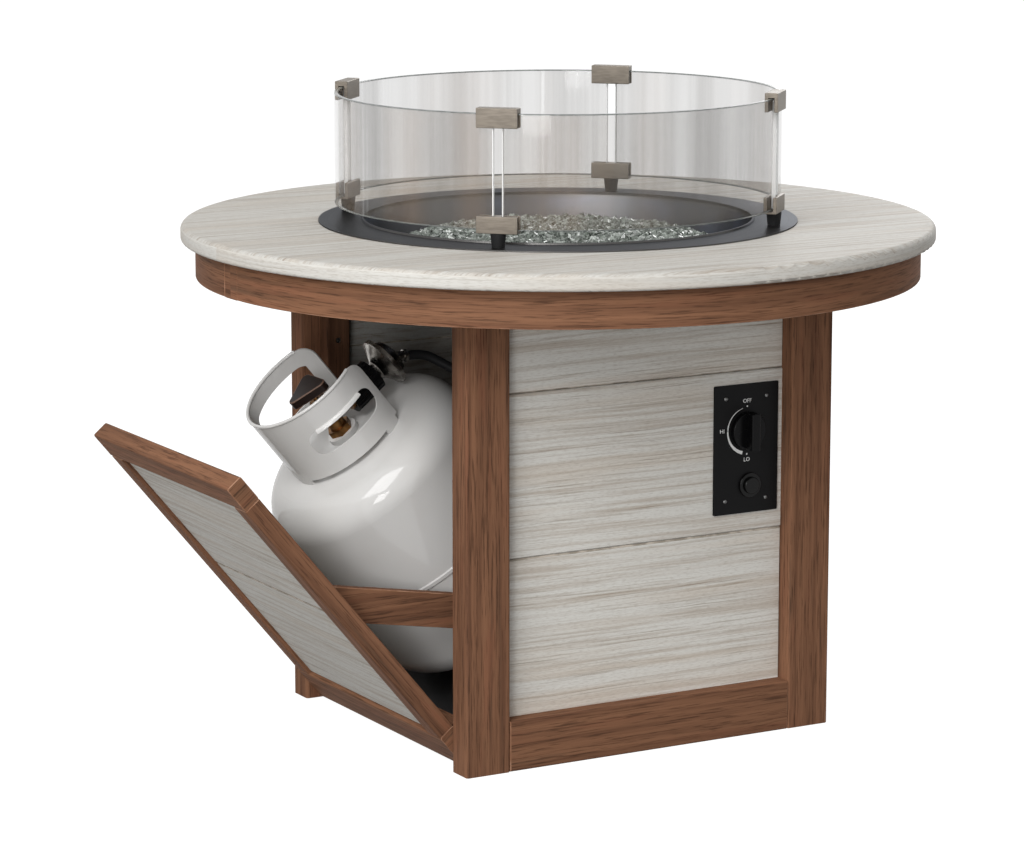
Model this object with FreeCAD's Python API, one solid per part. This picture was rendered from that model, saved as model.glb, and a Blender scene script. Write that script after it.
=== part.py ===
import FreeCAD, Part
import math
import os

# Round fire pit table on a boxed base, with a tilt-out door that carries the gas tank.
# Millimetres, +Z up. The origin is on the floor under the middle of the base.
# -Y is the side with the control plate and -X the side with the tank door.
# The door is stored tilted open, as the photograph shows it.

V = FreeCAD.Vector
X = V(1, 0, 0)
Y = V(0, 1, 0)
Z = V(0, 0, 1)

# Table top and apron
top_height = 749.0
top_radius = 558.8
top_thick = 24.5
top_edge_round = 9.0
top_under_round = 5.0
apron_inset = 21.4
apron_thick = 24.4
apron_drop = 54.5
apron_joint_width = 40.0
apron_joint_groove = 1.5

# Base frame
base_width = 616.0
post_width = 71.0
post_depth = 44.0
post_round = 4.0
rail_thick = 27.0
rail_round = 3.0
low_rail_height = 74.0
high_rail_top = 690.0
high_rail_height = 45.0
door_side_rail_height = 40.0
board_thick = 16.5
board_bottom = 66.0
board_seams = (304.3, 542.5)
board_gap = 0.4
board_groove = 1.6
leveller_hole_radius = 4.0
leveller_hole_depth = 25.0

# Burner pan, burner and fire glass
flange_radius = 355.3
flange_thick = 2.0
pan_sheet = 1.5
pan_mouth_radius = 288.0
pan_floor_radius = 278.0
pan_floor_height = 700.5
lip_bead_height = 2.5
lip_bead_width = 3.0
pan_to_top_gap = 1.5
burner_ring_radius = 125.0
burner_tube_radius = 7.0
burner_hub_radius = 15.0
burner_hub_height = 14.0
burner_clearance = 2.0
burner_inlet_radius = 8.0
burner_inlet_bottom = 689.0
glass_bed_radius = 246.0
glass_bed_flat_radius = 205.0
glass_bed_height = 20.0
glass_mound_rise = 5.5
glass_mound_low_rise = 3.5
glass_mound_radius = 26.0
glass_mound_crown = 8.0
glass_mound_root = 0.5
glass_mound_rings = 3
glass_mound_spacing = 56.0

# Glass wind guard
guard_radius = 330.6
guard_glass_thick = 6.4
guard_bottom = 775.0
guard_height = 164.6
guard_gap = 12.0
clip_width = 60.0
clip_plate = 5.5
clip_glass_gap = 0.4
clip_cap = 7.4
clip_floor = 3.7
clip_reach = 20.3
clip_web = 9.0
clip_round = 1.0
foot_top_radius = 11.4
foot_bottom_radius = 9.25

# Control plate, knob and igniter
plate_width = 110.7
plate_height = 192.7
plate_bottom = 331.6
plate_to_post = 8.4
plate_thick = 3.0
plate_corner = 2.0
plate_screw_inset = 20.0
plate_screw_radius = 2.0
plate_screw_head = 3.2
plate_screw_length = 14.0
knob_to_plate_side = 53.6
knob_above_plate_bottom = 123.4
knob_radius = 28.0
knob_skirt = 8.0
knob_depth = 26.0
knob_grip_width = 15.0
stem_radius = 4.0
stem_clearance = 0.05
valve_body_radius = 18.0
valve_hole_radius = 24.0
valve_body_length = 46.0
valve_port_radius = 8.0
valve_port_length = 18.0
igniter_to_plate_side = 48.6
igniter_above_plate_bottom = 41.4
igniter_bezel_radius = 18.5
igniter_bezel_depth = 4.0
igniter_body_radius = 14.0
igniter_body_length = 28.0
igniter_button_radius = 12.5
igniter_button_clearance = 0.1
igniter_button_proud = 9.0
igniter_button_behind_plate = 6.0
igniter_well_behind_plate = 12.0
hole_clearance = 0.4

# Tank door
door_tilt = 39.8
pivot_to_door_side = 14.5
pivot_z = 33.0
pivot_radius = 5.0
pivot_clearance = 0.05
pivot_pin_length = 53.0
pivot_pin_reach = 20.0
door_face_inset = 1.0
door_thick = 27.0
door_side_gap = 3.3
door_bottom = 4.1
door_height = 577.5
door_high_rail = 44.0
door_low_rail = 62.0
door_stile = 39.0
door_round = 3.0
door_board_inset = 6.0
door_board_thick = 16.5
door_board_seam_drop = 270.0
stop_wide = 38.0
stop_deep = 24.0
stop_gap = 0.5
stop_bottom = 80.0
stop_screw_radius = 2.0
stop_screw_head = 4.5
stop_screw_sink = 1.5
stop_screw_low = 120.0
stop_screw_middle = 385.0
stop_screw_high = 557.0

# Tank carriage
tray_thick = 3.0
tray_bottom = 4.5
tray_inner_x = 40.0
brace_to_tank = 3.1
tray_to_stop = 20.5
tray_flange = 2.0
tray_flange_height = 25.0
brace_thick = 16.5
brace_width = 50.2
brace_angle = 49.5
brace_foot_x = -56.0
carriage_cleat_top = 43.0

# Gas tank
tank_x = -70.5
tank_radius = 165.0
tank_wall = 3.0
tank_bottom = 20.3
tank_height = 380.0
dome_radius = 600.0
knuckle_radius = 50.0
weld_rise = 1.4
weld_height = 9.0
boss_radius = 24.0
boss_height = 8.0
boss_bore = 14.0
foot_ring_radius = 100.0
foot_ring_wall = 3.0
foot_ring_lip = 12.0
collar_radius = 95.5
collar_wall = 3.0
collar_top = 513.5
collar_bead = 2.6
collar_start = 49.0
collar_end = 310.0
collar_foot_lift = 1.0
collar_corner = 24.0
collar_tab_angles = (-172.0, -64.0, 75.0)
collar_tab_width = 30.0
near_slot = (-97.0, 116.0, 434.0, 476.0)
far_slot = (104.0, 130.0, 434.0, 487.0)
slot_round = 17.0

# Tank valve, handwheel, coupling nut, regulator and hose
valve_axis_z = 436.0
tank_valve_radius = 13.0
tank_valve_hex = 19.0
tank_outlet_length = 52.0
tank_outlet_radius = 12.0
tank_thread_radius = 17.0
valve_bonnet_top = 470.0
wheel_bottom = 484.0
wheel_thick = 14.0
wheel_reach = 34.0
wheel_corner = 9.0
wheel_skin = 3.0
nut_radius = 25.0
nut_start = 36.0
nut_end = 90.0
nut_wall_end = 8.0
nut_ribs = 16
nut_rib_depth = 1.5
inlet_radius = 8.5
regulator_start = 92.0
regulator_bell = 112.0
regulator_rim = 118.0
regulator_end = 132.0
regulator_radius = 40.0
regulator_neck = 12.0
barb_angle = -36.9
barb_length = 22.0
barb_radius = 8.0
hose_radius = 7.0
pipe_radius = 5.0
pipe_turn_height = 650.0
pipe_bend = 25.0

# Places that follow from the sizes above
half_width = base_width / 2
pivot_x = pivot_to_door_side - half_width
post_in_x = half_width - post_width
tray_half_width = tank_radius + weld_rise + brace_to_tank + brace_thick + tray_flange
post_in_y = tray_half_width + tray_to_stop + stop_deep
half_depth = post_in_y + post_depth
top_bottom = top_height - top_thick
apron_radius = top_radius - apron_inset
apron_bottom = top_bottom - apron_drop
board_back_y = half_depth - rail_thick - board_thick
board_face_y = half_depth - rail_thick
board_face_x = half_width - rail_thick
high_rail_bottom = high_rail_top - high_rail_height
plate_face_y = -(board_face_y + plate_thick)
plate_right = post_in_x - plate_to_post
plate_left = plate_right - plate_width
plate_top = plate_bottom + plate_height
knob_x = plate_right - knob_to_plate_side
knob_z = plate_bottom + knob_above_plate_bottom
igniter_x = plate_right - igniter_to_plate_side
igniter_z = plate_bottom + igniter_above_plate_bottom
door_top = door_bottom + door_height
door_half = post_in_y - door_side_gap
door_face_x = -half_width + door_face_inset
door_inner_x = door_face_x + door_thick
door_board_inner_x = door_face_x + door_board_inset + door_board_thick
tank_top = tank_bottom + tank_height
flange_top = top_height + flange_thick
guard_top = guard_bottom + guard_height
clip_mid = guard_radius - guard_glass_thick / 2
tray_top = tray_bottom + tray_thick
pivot = V(pivot_x, 0, pivot_z)

os.makedirs("parts", exist_ok=True)


def block(x0, x1, y0, y1, z0, z1):
    return Part.makeBox(x1 - x0, y1 - y0, z1 - z0, V(x0, y0, z0))


def rod(base, direction, radius, length):
    return Part.makeCylinder(radius, length, base, direction)


def tube(base, direction, outer, inner, length):
    return rod(base, direction, outer, length).cut(rod(base, direction, inner, length))


def runs_along(edge, axis):
    """True for a straight edge parallel to axis."""
    if not isinstance(edge.Curve, Part.Line):
        return False
    way = edge.tangentAt(edge.FirstParameter)
    return abs(way.dot(axis)) > 0.999


def soften(shape, radius, axis, keep=lambda p: True):
    """Round the straight edges parallel to axis whose middle passes keep."""
    edges = [e for e in shape.Edges if runs_along(e, axis) and keep(e.CenterOfMass)]
    return shape.makeFillet(radius, edges)


def turned(points, centre=V(0, 0, 0)):
    """Solid of revolution about the upright line through centre, from a closed (radius, height) outline."""
    corners = [centre + V(r, 0, z) for r, z in points]
    face = Part.Face(Part.makePolygon(corners + corners[:1]))
    return face.revolve(centre, Z, 360)


def sector(r0, r1, z0, z1, start, end, centre=V(0, 0, 0)):
    """Piece of an upright ring between two angles, in degrees from +X."""
    corners = [centre + V(r, 0, z) for r, z in ((r0, z0), (r1, z0), (r1, z1), (r0, z1))]
    face = Part.Face(Part.makePolygon(corners + corners[:1]))
    face.rotate(centre, Z, start)
    return face.revolve(centre, Z, end - start)


def open_door(shape):
    """Turn a piece drawn with the door shut to where it is with the door tilted open."""
    opened = shape.copy()
    opened.rotate(pivot, Y, -door_tilt)
    return opened


def save(name, shape):
    shape.exportStep("parts/" + name + ".step")


def save_group(name, solids):
    save(name, Part.makeCompound(solids))


# Table top: one thick round panel with a hole for the burner pan
def make_table_top():
    hole = pan_mouth_radius + pan_sheet + pan_to_top_gap
    disc = rod(V(0, 0, top_bottom), Z, top_radius, top_thick)
    high = [e for e in disc.Edges if abs(e.CenterOfMass.z - top_height) < 0.1 and e.isClosed()]
    disc = disc.makeFillet(top_edge_round, high)
    low = [e for e in disc.Edges if abs(e.CenterOfMass.z - top_bottom) < 0.1 and e.isClosed()]
    disc = disc.makeFillet(top_under_round, low)
    return disc.cut(rod(V(0, 0, top_bottom - 1), Z, hole, top_thick + 2))


# Apron: two bent boards that meet at a short joint block on the door side and opposite it
def make_apron():
    ring = tube(V(0, 0, apron_bottom), Z, apron_radius, apron_radius - apron_thick, apron_drop)
    half = apron_joint_width / 2
    reach = top_radius
    strip = block(-reach, reach, -half, half, apron_bottom - 1, top_bottom + 1)
    front = ring.cut(strip).common(block(-reach, reach, -reach, 0, apron_bottom, top_bottom))
    back = ring.cut(strip).common(block(-reach, reach, 0, reach, apron_bottom, top_bottom))
    blocks = []
    for side in (-1, 1):
        far = side * reach
        piece = ring.common(block(min(0, far), max(0, far), -half, half, apron_bottom, top_bottom))
        outer = apron_radius - apron_thick / 2
        piece = piece.makeChamfer(
            apron_joint_groove,
            [e for e in piece.Edges if runs_along(e, Z) and abs(e.CenterOfMass.x) > outer],
        )
        blocks.append(piece)
    return front, back, blocks


def make_post(side_x, side_y):
    x0 = min(side_x * half_width, side_x * post_in_x)
    y0 = min(side_y * half_depth, side_y * post_in_y)
    post = block(x0, x0 + post_width, y0, y0 + post_depth, 0, top_bottom)
    post = soften(post, post_round, Z)
    foot = V(x0 + post_width / 2, y0 + post_depth / 2, 0)
    post = post.cut(rod(foot, Z, leveller_hole_radius, leveller_hole_depth))
    if side_x < 0:
        bore = rod(
            V(pivot_x, side_y * (post_in_y - 1), pivot_z),
            Y * side_y,
            pivot_radius + pivot_clearance,
            pivot_pin_reach + 2,
        )
        post = post.cut(bore)
    return post


def make_rail_y(side, z0, z1):
    """Rail along X on the front (-1) or back (1) face."""
    y0 = min(side * half_depth, side * board_face_y)
    rail = block(-post_in_x, post_in_x, y0, y0 + rail_thick, z0, z1)
    return soften(rail, rail_round, X, lambda p: abs(p.y) > board_face_y + 1)


def make_rail_x(side, z0, z1):
    """Rail along Y on the door (-1) or far (1) face."""
    x0 = min(side * half_width, side * board_face_x)
    rail = block(x0, x0 + rail_thick, -post_in_y, post_in_y, z0, z1)
    return soften(rail, rail_round, Y, lambda p: abs(p.x) > board_face_x + 1)


def board_levels():
    """Bottom and top of the three boards of a panel."""
    low = board_bottom
    levels = []
    for seam in board_seams:
        levels.append((low, seam - board_gap / 2))
        low = seam + board_gap / 2
    levels.append((low, high_rail_top))
    return levels


def make_board_y(side, z0, z1):
    """Board of the front (-1) or back (1) panel, with a V groove along its long outer edges."""
    y0 = min(side * board_face_y, side * board_back_y)
    board = block(-post_in_x, post_in_x, y0, y0 + board_thick, z0, z1)
    outer = board_face_y - 1
    edges = [e for e in board.Edges if runs_along(e, X) and abs(e.CenterOfMass.y) > outer]
    return board.makeChamfer(board_groove, edges)


def make_board_x(z0, z1):
    """Board of the far side's panel."""
    inner = board_face_x - board_thick
    board = block(inner, board_face_x, -post_in_y, post_in_y, z0, z1)
    outer = board_face_x - 1
    edges = [e for e in board.Edges if runs_along(e, Y) and e.CenterOfMass.x > outer]
    return board.makeChamfer(board_groove, edges)


# Screws of the control plate: places shared by plate, board and screws
def plate_screw_places():
    places = []
    for x in (plate_left + plate_screw_inset, plate_right - plate_screw_inset):
        for z in (plate_bottom + plate_screw_inset, plate_top - plate_screw_inset):
            places.append((x, z))
    return places


def make_control_board(board):
    """Cut the middle front board for the gas valve, the igniter and the plate's screws."""
    deep = board_thick + 2
    for x, z, r in (
        (knob_x, knob_z, valve_hole_radius),
        (igniter_x, igniter_z, igniter_body_radius + hole_clearance),
    ):
        board = board.cut(rod(V(x, -board_face_y - 1, z), Y, r, deep))
    for x, z in plate_screw_places():
        board = board.cut(rod(V(x, plate_face_y, z), Y, plate_screw_radius, plate_screw_length))
    return board


def make_control_plate():
    plate = block(plate_left, plate_right, plate_face_y, -board_face_y, plate_bottom, plate_top)
    plate = soften(plate, plate_corner, Y)
    holes = [(knob_x, knob_z, stem_radius + hole_clearance)]
    holes.append((igniter_x, igniter_z, igniter_body_radius + hole_clearance))
    holes += [(x, z, plate_screw_radius) for x, z in plate_screw_places()]
    for x, z, r in holes:
        plate = plate.cut(rod(V(x, plate_face_y - 1, z), Y, r, plate_thick + 2))
    return plate


def make_plate_screws():
    screws = []
    for x, z in plate_screw_places():
        shank = rod(V(x, plate_face_y, z), Y, plate_screw_radius, plate_screw_length)
        head = Part.makeSphere(plate_screw_head * 1.25, V(x, plate_face_y + plate_screw_head * 0.75, z))
        head = head.common(rod(V(x, plate_face_y, z), -Y, plate_screw_head, plate_screw_head))
        screws.append(shank.fuse(head))
    return screws


# Gas valve behind the plate: body, stem through the plate, inlet below and outlet above
def make_gas_valve():
    back = -board_face_y + valve_body_length
    body = rod(V(knob_x, -board_face_y, knob_z), Y, valve_body_radius, valve_body_length)
    stem_out = V(knob_x, plate_face_y - knob_depth / 2, knob_z)
    stem = rod(stem_out, Y, stem_radius, knob_depth / 2 + plate_thick + 5)
    port_y = back - valve_port_radius - 3
    reach = valve_body_radius + valve_port_length
    ports = rod(V(knob_x, port_y, knob_z - reach), Z, valve_port_radius, 2 * reach)
    return body.fuse(stem).fuse(ports), port_y, reach


# Knob: round skirt, raised bar to grip, and a bore that turns on the valve's stem
def make_knob():
    face = plate_face_y - hole_clearance
    skirt = rod(V(knob_x, face, knob_z), -Y, knob_radius, knob_skirt)
    rim = [e for e in skirt.Edges if e.isClosed() and e.CenterOfMass.y < face - knob_skirt + 0.1]
    skirt = skirt.makeFillet(2.0, rim)
    half = knob_grip_width / 2
    grip = block(
        knob_x - half,
        knob_x + half,
        face - knob_depth,
        face - knob_skirt + 3,
        knob_z - knob_radius,
        knob_z + knob_radius,
    )
    grip = grip.common(rod(V(knob_x, face, knob_z), -Y, knob_radius - 0.5, knob_depth))
    grip = soften(grip, 3.0, Z, lambda p: p.y < face - knob_depth + 1)
    knob = skirt.fuse(grip)
    bore = rod(V(knob_x, face + 1, knob_z), -Y, stem_radius + stem_clearance, knob_depth / 2 + 2)
    return knob.cut(bore)


def make_igniter():
    """Igniter body with its bezel in front of the plate, and the push button that slides in it."""
    place = V(igniter_x, plate_face_y, igniter_z)
    bezel = rod(place, -Y, igniter_bezel_radius, igniter_bezel_depth)
    front = plate_face_y - igniter_bezel_depth
    rim = [e for e in bezel.Edges if e.isClosed() and abs(e.CenterOfMass.y - front) < 0.1]
    bezel = bezel.makeFillet(1.5, rim)
    body = rod(place, Y, igniter_body_radius, igniter_body_length)
    well = rod(
        V(igniter_x, front - 1, igniter_z),
        Y,
        igniter_button_radius + igniter_button_clearance,
        igniter_bezel_depth + 1 + igniter_well_behind_plate,
    )
    module = bezel.fuse(body).cut(well)
    button = rod(
        V(igniter_x, plate_face_y - igniter_button_proud, igniter_z),
        Y,
        igniter_button_radius,
        igniter_button_proud + igniter_button_behind_plate,
    )
    nose = plate_face_y - igniter_button_proud
    tip = [e for e in button.Edges if e.isClosed() and abs(e.CenterOfMass.y - nose) < 0.1]
    return module, button.makeFillet(2.5, tip)


# Burner pan: flange on the table top, raised lip, steep wall and flat floor in one sheet
def make_burner_pan():
    outline = [
        (flange_radius, top_height),
        (flange_radius, flange_top),
        (pan_mouth_radius + lip_bead_width + 1, flange_top),
        (pan_mouth_radius + lip_bead_width, flange_top + lip_bead_height),
        (pan_mouth_radius, flange_top + lip_bead_height),
        (pan_mouth_radius, top_height),
        (pan_floor_radius, pan_floor_height + pan_sheet),
        (burner_inlet_radius, pan_floor_height + pan_sheet),
        (burner_inlet_radius, pan_floor_height),
        (pan_floor_radius + pan_sheet, pan_floor_height),
        (pan_mouth_radius + pan_sheet, top_height - pan_sheet),
        (pan_mouth_radius + pan_sheet, top_height),
    ]
    return turned(outline)


# Burner: a ring fed by two arms from a hub whose inlet stands through the pan's floor
def make_burner():
    floor = pan_floor_height + pan_sheet
    level = floor + burner_clearance + burner_tube_radius
    ring = Part.makeTorus(burner_ring_radius, burner_tube_radius, V(0, 0, level), Z)
    arm = rod(V(-burner_ring_radius, 0, level), X, burner_tube_radius - 1, 2 * burner_ring_radius)
    hub = rod(V(0, 0, floor), Z, burner_hub_radius, burner_hub_height)
    inlet = rod(V(0, 0, burner_inlet_bottom), Z, burner_inlet_radius, floor - burner_inlet_bottom)
    return ring.fuse(arm).fuse(hub).fuse(inlet)


def make_glass_bed(burner):
    """Bed of loose fire glass, heaped in low mounds over the burner buried in it."""
    floor = pan_floor_height + pan_sheet
    level = floor + glass_bed_height
    outline = [
        (0, floor),
        (glass_bed_radius, floor),
        (glass_bed_radius - 4, floor + 5),
        (glass_bed_flat_radius + 12, level - 5),
        (glass_bed_flat_radius - 8, level),
        (0, level),
    ]
    mounds = [make_mound(V(0, 0, level), glass_mound_rise)]
    for ring in range(1, glass_mound_rings + 1):
        reach = glass_mound_spacing * ring
        for i in range(6 * ring):
            angle = math.radians(60 * i / ring + 15 * ring)
            rise = glass_mound_rise if (i + ring) % 2 else glass_mound_low_rise
            mounds.append(make_mound(V(reach * math.cos(angle), reach * math.sin(angle), level), rise))
    return turned(outline).fuse(mounds).cut(burner)


def make_mound(place, rise):
    """Low blunt mound that stands rise above place and is rooted a little below it."""
    root = V(0, 0, glass_mound_root)
    return Part.makeCone(glass_mound_radius, glass_mound_crown, rise + glass_mound_root, place - root, Z)


# Wind guard: four bent panes that end 6 mm short of the diagonals, held by clips there
def make_panes():
    inner = guard_radius - guard_glass_thick
    half_gap = math.degrees(math.asin(guard_gap / 2 / clip_mid))
    panes = []
    for quarter in range(4):
        start = 45 + 90 * quarter + half_gap
        panes.append(sector(inner, guard_radius, guard_bottom, guard_top, start, start + 90 - 2 * half_gap))
    return panes


def make_clip(top):
    """H-shaped clip drawn on +X: an outer and an inner plate joined by a web between two panes."""
    outer = guard_radius + clip_glass_gap
    half = clip_width / 2
    inner_glass = math.sqrt((guard_radius - guard_glass_thick) ** 2 - half**2)
    inner = inner_glass - clip_glass_gap
    if top:
        z0, z1 = guard_top - clip_reach, guard_top + clip_glass_gap + clip_cap
        bridge = block(inner, outer, -half, half, guard_top + clip_glass_gap, z1)
    else:
        z0, z1 = guard_bottom - clip_glass_gap - clip_floor, guard_bottom + clip_reach
        bridge = block(inner, outer, -half, half, z0, guard_bottom - clip_glass_gap)
    clip = block(outer, outer + clip_plate, -half, half, z0, z1)
    clip = clip.fuse(block(inner - clip_plate, inner, -half, half, z0, z1))
    clip = clip.fuse(block(inner, outer, -clip_web / 2, clip_web / 2, z0, z1))
    clip = clip.fuse(bridge).removeSplitter()
    clip = soften(clip, clip_round, Y, lambda p: p.x > outer + 1 or p.x < inner - 1)
    return clip, z0, (inner - clip_plate + outer + clip_plate) / 2


def make_guard_fittings():
    """Clips and tapered rubber feet, turned to the four diagonals."""
    high, _, _ = make_clip(True)
    low, low_z, foot_x = make_clip(False)
    stand = V(foot_x, 0, flange_top)
    foot = Part.makeCone(foot_bottom_radius, foot_top_radius, low_z - flange_top, stand, Z)
    groups = {"high": [], "low": [], "feet": []}
    for quarter in range(4):
        for group, shape in (("high", high), ("low", low), ("feet", foot)):
            copy = shape.copy()
            copy.rotate(V(0, 0, 0), Z, 45 + 90 * quarter)
            groups[group].append(copy)
    return groups


# Door, drawn shut
def make_door_rail(z0, z1):
    rail = block(door_face_x, door_inner_x, -door_half, door_half, z0, z1)
    return soften(rail, door_round, Y)


def make_door_stile(side):
    y0 = min(side * door_half, side * (door_half - door_stile))
    z0 = door_bottom + door_low_rail
    z1 = door_top - door_high_rail
    stile = block(door_face_x, door_inner_x, y0, y0 + door_stile, z0, z1)
    return soften(stile, door_round, Z)


def make_door_board(z0, z1):
    outer = door_face_x + door_board_inset
    half = door_half - door_stile
    board = block(outer, outer + door_board_thick, -half, half, z0, z1)
    edges = [e for e in board.Edges if runs_along(e, Y) and e.CenterOfMass.x < outer + 1]
    return board.makeChamfer(board_groove, edges)


def make_pivot_pin(side):
    start = V(pivot_x, side * (post_in_y + pivot_pin_reach), pivot_z)
    return rod(start, Y * -side, pivot_radius, pivot_pin_length)


# Stops behind the door: two upright cleats screwed to the door-side posts
def make_stop(side):
    x0 = door_inner_x + stop_gap
    inner = side * (post_in_y - stop_deep)
    y0 = min(side * post_in_y, inner)
    stop = block(x0, x0 + stop_wide, y0, y0 + stop_deep, stop_bottom, high_rail_top)
    stop = soften(stop, 2.0, Z, lambda p: abs(p.y) < post_in_y - 1)
    screws = []
    for z in (stop_screw_low, stop_screw_middle, stop_screw_high):
        place = V(x0 + stop_wide / 2, inner, z)
        way = Y * side
        head = rod(place, way, stop_screw_head, stop_screw_sink + 1)
        shank = rod(place, way, stop_screw_radius, stop_deep + 12)
        stop = stop.cut(head).cut(shank)
        start = place + way * stop_screw_sink
        screws.append(
            rod(start, way, stop_screw_head, 1).fuse(
                rod(start, way, stop_screw_radius, stop_deep + 12 - stop_screw_sink)
            )
        )
    return stop, screws


# Tank carriage, drawn with the door shut
def make_tray():
    reach = tray_half_width
    tray = block(door_inner_x, tray_inner_x, -reach, reach, tray_bottom, tray_top)
    for side in (-1, 1):
        y0 = min(side * reach, side * (reach - tray_flange))
        z1 = tray_bottom + tray_flange_height
        tray = tray.fuse(block(door_inner_x, tray_inner_x, y0, y0 + tray_flange, tray_bottom, z1))
    lip = block(tray_inner_x - tray_flange, tray_inner_x, -reach, reach, tray_bottom, tray_top + 8)
    return tray.fuse(lip).removeSplitter()


def make_brace(side):
    """Flat wooden brace from the door's boards down to the tray."""
    slope = math.tan(math.radians(brace_angle))
    rise = brace_width / math.cos(math.radians(brace_angle))
    run = brace_width / math.sin(math.radians(brace_angle))
    start = door_board_inner_x
    low_z = tray_top + (brace_foot_x - start) * slope
    outer = side * (tray_half_width - tray_flange)
    inner = outer - side * brace_thick
    corners = [
        V(start, outer, low_z),
        V(start, outer, low_z + rise),
        V(brace_foot_x + run, outer, tray_top),
        V(brace_foot_x, outer, tray_top),
    ]
    face = Part.Face(Part.makePolygon(corners + corners[:1]))
    return face.extrude(V(0, inner - outer, 0))


def make_carriage_cleat():
    half = tray_half_width - tray_flange
    cleat = block(door_inner_x, door_inner_x + stop_deep, -half, half, tray_top, carriage_cleat_top)
    return soften(cleat, 2.0, Y, lambda p: p.x > door_inner_x + 1 and p.z > tray_top + 1)


# Gas tank, drawn upright with the door shut
tank_axis = V(tank_x, 0, 0)


def dome_edges(wall):
    """Half outline of the shell, from the bottom pole to the top pole, wall inside the outer skin."""
    crown = dome_radius - wall
    knuckle = knuckle_radius - wall
    reach = tank_radius - knuckle_radius
    drop = math.sqrt((dome_radius - knuckle_radius) ** 2 - reach**2)
    tip = math.asin(reach / (dome_radius - knuckle_radius))
    edges = []
    low = tank_bottom + dome_radius
    high = tank_top - dome_radius
    low_knuckle = low - drop
    high_knuckle = high + drop

    def on(centre_r, centre_z, radius, angle, up):
        return V(tank_x + centre_r + radius * math.sin(angle), 0, centre_z + up * radius * math.cos(angle))

    def arc(centre_r, centre_z, radius, a0, a1, up):
        points = [on(centre_r, centre_z, radius, a, up) for a in (a0, (a0 + a1) / 2, a1)]
        return Part.Arc(*points).toShape()

    right = math.pi / 2
    edges.append(arc(0, low, crown, 0, tip, -1))
    edges.append(arc(reach, low_knuckle, knuckle, tip, right, -1))
    side = tank_x + tank_radius - wall
    edges.append(Part.LineSegment(V(side, 0, low_knuckle), V(side, 0, high_knuckle)).toShape())
    edges.append(arc(reach, high_knuckle, knuckle, right, tip, 1))
    edges.append(arc(0, high, crown, tip, 0, 1))
    axis = Part.LineSegment(V(tank_x, 0, tank_top - wall), V(tank_x, 0, tank_bottom + wall))
    edges.append(axis.toShape())
    return edges


def dome_solid(wall):
    face = Part.Face(Part.Wire(dome_edges(wall)))
    return face.revolve(tank_axis, Z, 360)


def make_shell(full):
    middle = (tank_bottom + tank_top) / 2 - 8
    half = weld_height / 2
    weld = turned(
        [
            (tank_radius - 1, middle - half),
            (tank_radius, middle - half),
            (tank_radius + weld_rise, middle - half + 2),
            (tank_radius + weld_rise, middle + half - 2),
            (tank_radius, middle + half),
            (tank_radius - 1, middle + half),
        ],
        tank_axis,
    )
    boss = rod(V(tank_x, 0, tank_top - tank_wall), Z, boss_radius, boss_height + tank_wall)
    shell = full.fuse(weld).fuse(boss).cut(dome_solid(tank_wall))
    return shell.cut(rod(V(tank_x, 0, tank_top - 20), Z, boss_bore, 40))


def make_foot_ring(full):
    top = tank_bottom + knuckle_radius / 2
    inner = foot_ring_radius - foot_ring_wall
    outline = [
        (inner - foot_ring_lip, tray_top),
        (foot_ring_radius, tray_top),
        (foot_ring_radius, top),
        (inner, top),
        (inner, tray_top + foot_ring_wall),
        (inner - foot_ring_lip, tray_top + foot_ring_wall),
    ]
    return turned(outline, tank_axis).cut(full)


def slot_tool(angle, width, z0, z1):
    """Rounded bar that cuts a hand hole through the collar's wall at angle."""
    half = width / 2
    bar = block(collar_radius - 25, collar_radius + 15, -half, half, z0, z1)
    bar = soften(bar, slot_round, X)
    bar.rotate(V(0, 0, 0), Z, angle)
    bar.translate(V(tank_x, 0, 0))
    return bar


def collar_corner_tool(angle, side):
    """Cutter that rounds the collar's upper corner at its open end; side is where the wall lies."""
    centre = collar_top - collar_bead - collar_corner
    y0, y1 = sorted((-side, side * collar_corner))
    corner = block(collar_radius - 25, collar_radius + 15, y0, y1, centre, collar_top + 5)
    corner = corner.cut(rod(V(collar_radius - 30, side * collar_corner, centre), X, collar_corner, 50))
    corner.rotate(V(0, 0, 0), Z, angle)
    corner.translate(V(tank_x, 0, 0))
    return corner


def make_collar(full):
    inner = collar_radius - collar_wall
    foot = tank_top + collar_foot_lift
    crest = collar_top - collar_bead
    collar = sector(inner, collar_radius, foot, crest, collar_start, collar_end, tank_axis)
    for tool in (near_slot, far_slot):
        collar = collar.cut(slot_tool(*tool))
    collar = collar.cut(collar_corner_tool(collar_start, 1)).cut(collar_corner_tool(collar_end, -1))
    middle = collar_radius - collar_wall / 2
    turn = math.degrees(collar_corner / middle)
    bead = Part.Face(Part.Wire(Part.makeCircle(collar_bead, tank_axis + V(middle, 0, crest), Y)))
    bead.rotate(tank_axis, Z, collar_start + turn)
    collar = collar.fuse(bead.revolve(tank_axis, Z, collar_end - collar_start - 2 * turn))
    spread = math.degrees(collar_tab_width / 2 / collar_radius)
    for angle in collar_tab_angles:
        tab = sector(inner, collar_radius, foot - 18, foot + 6, angle - spread, angle + spread, tank_axis)
        collar = collar.fuse(tab)
    return collar.cut(full)


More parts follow.
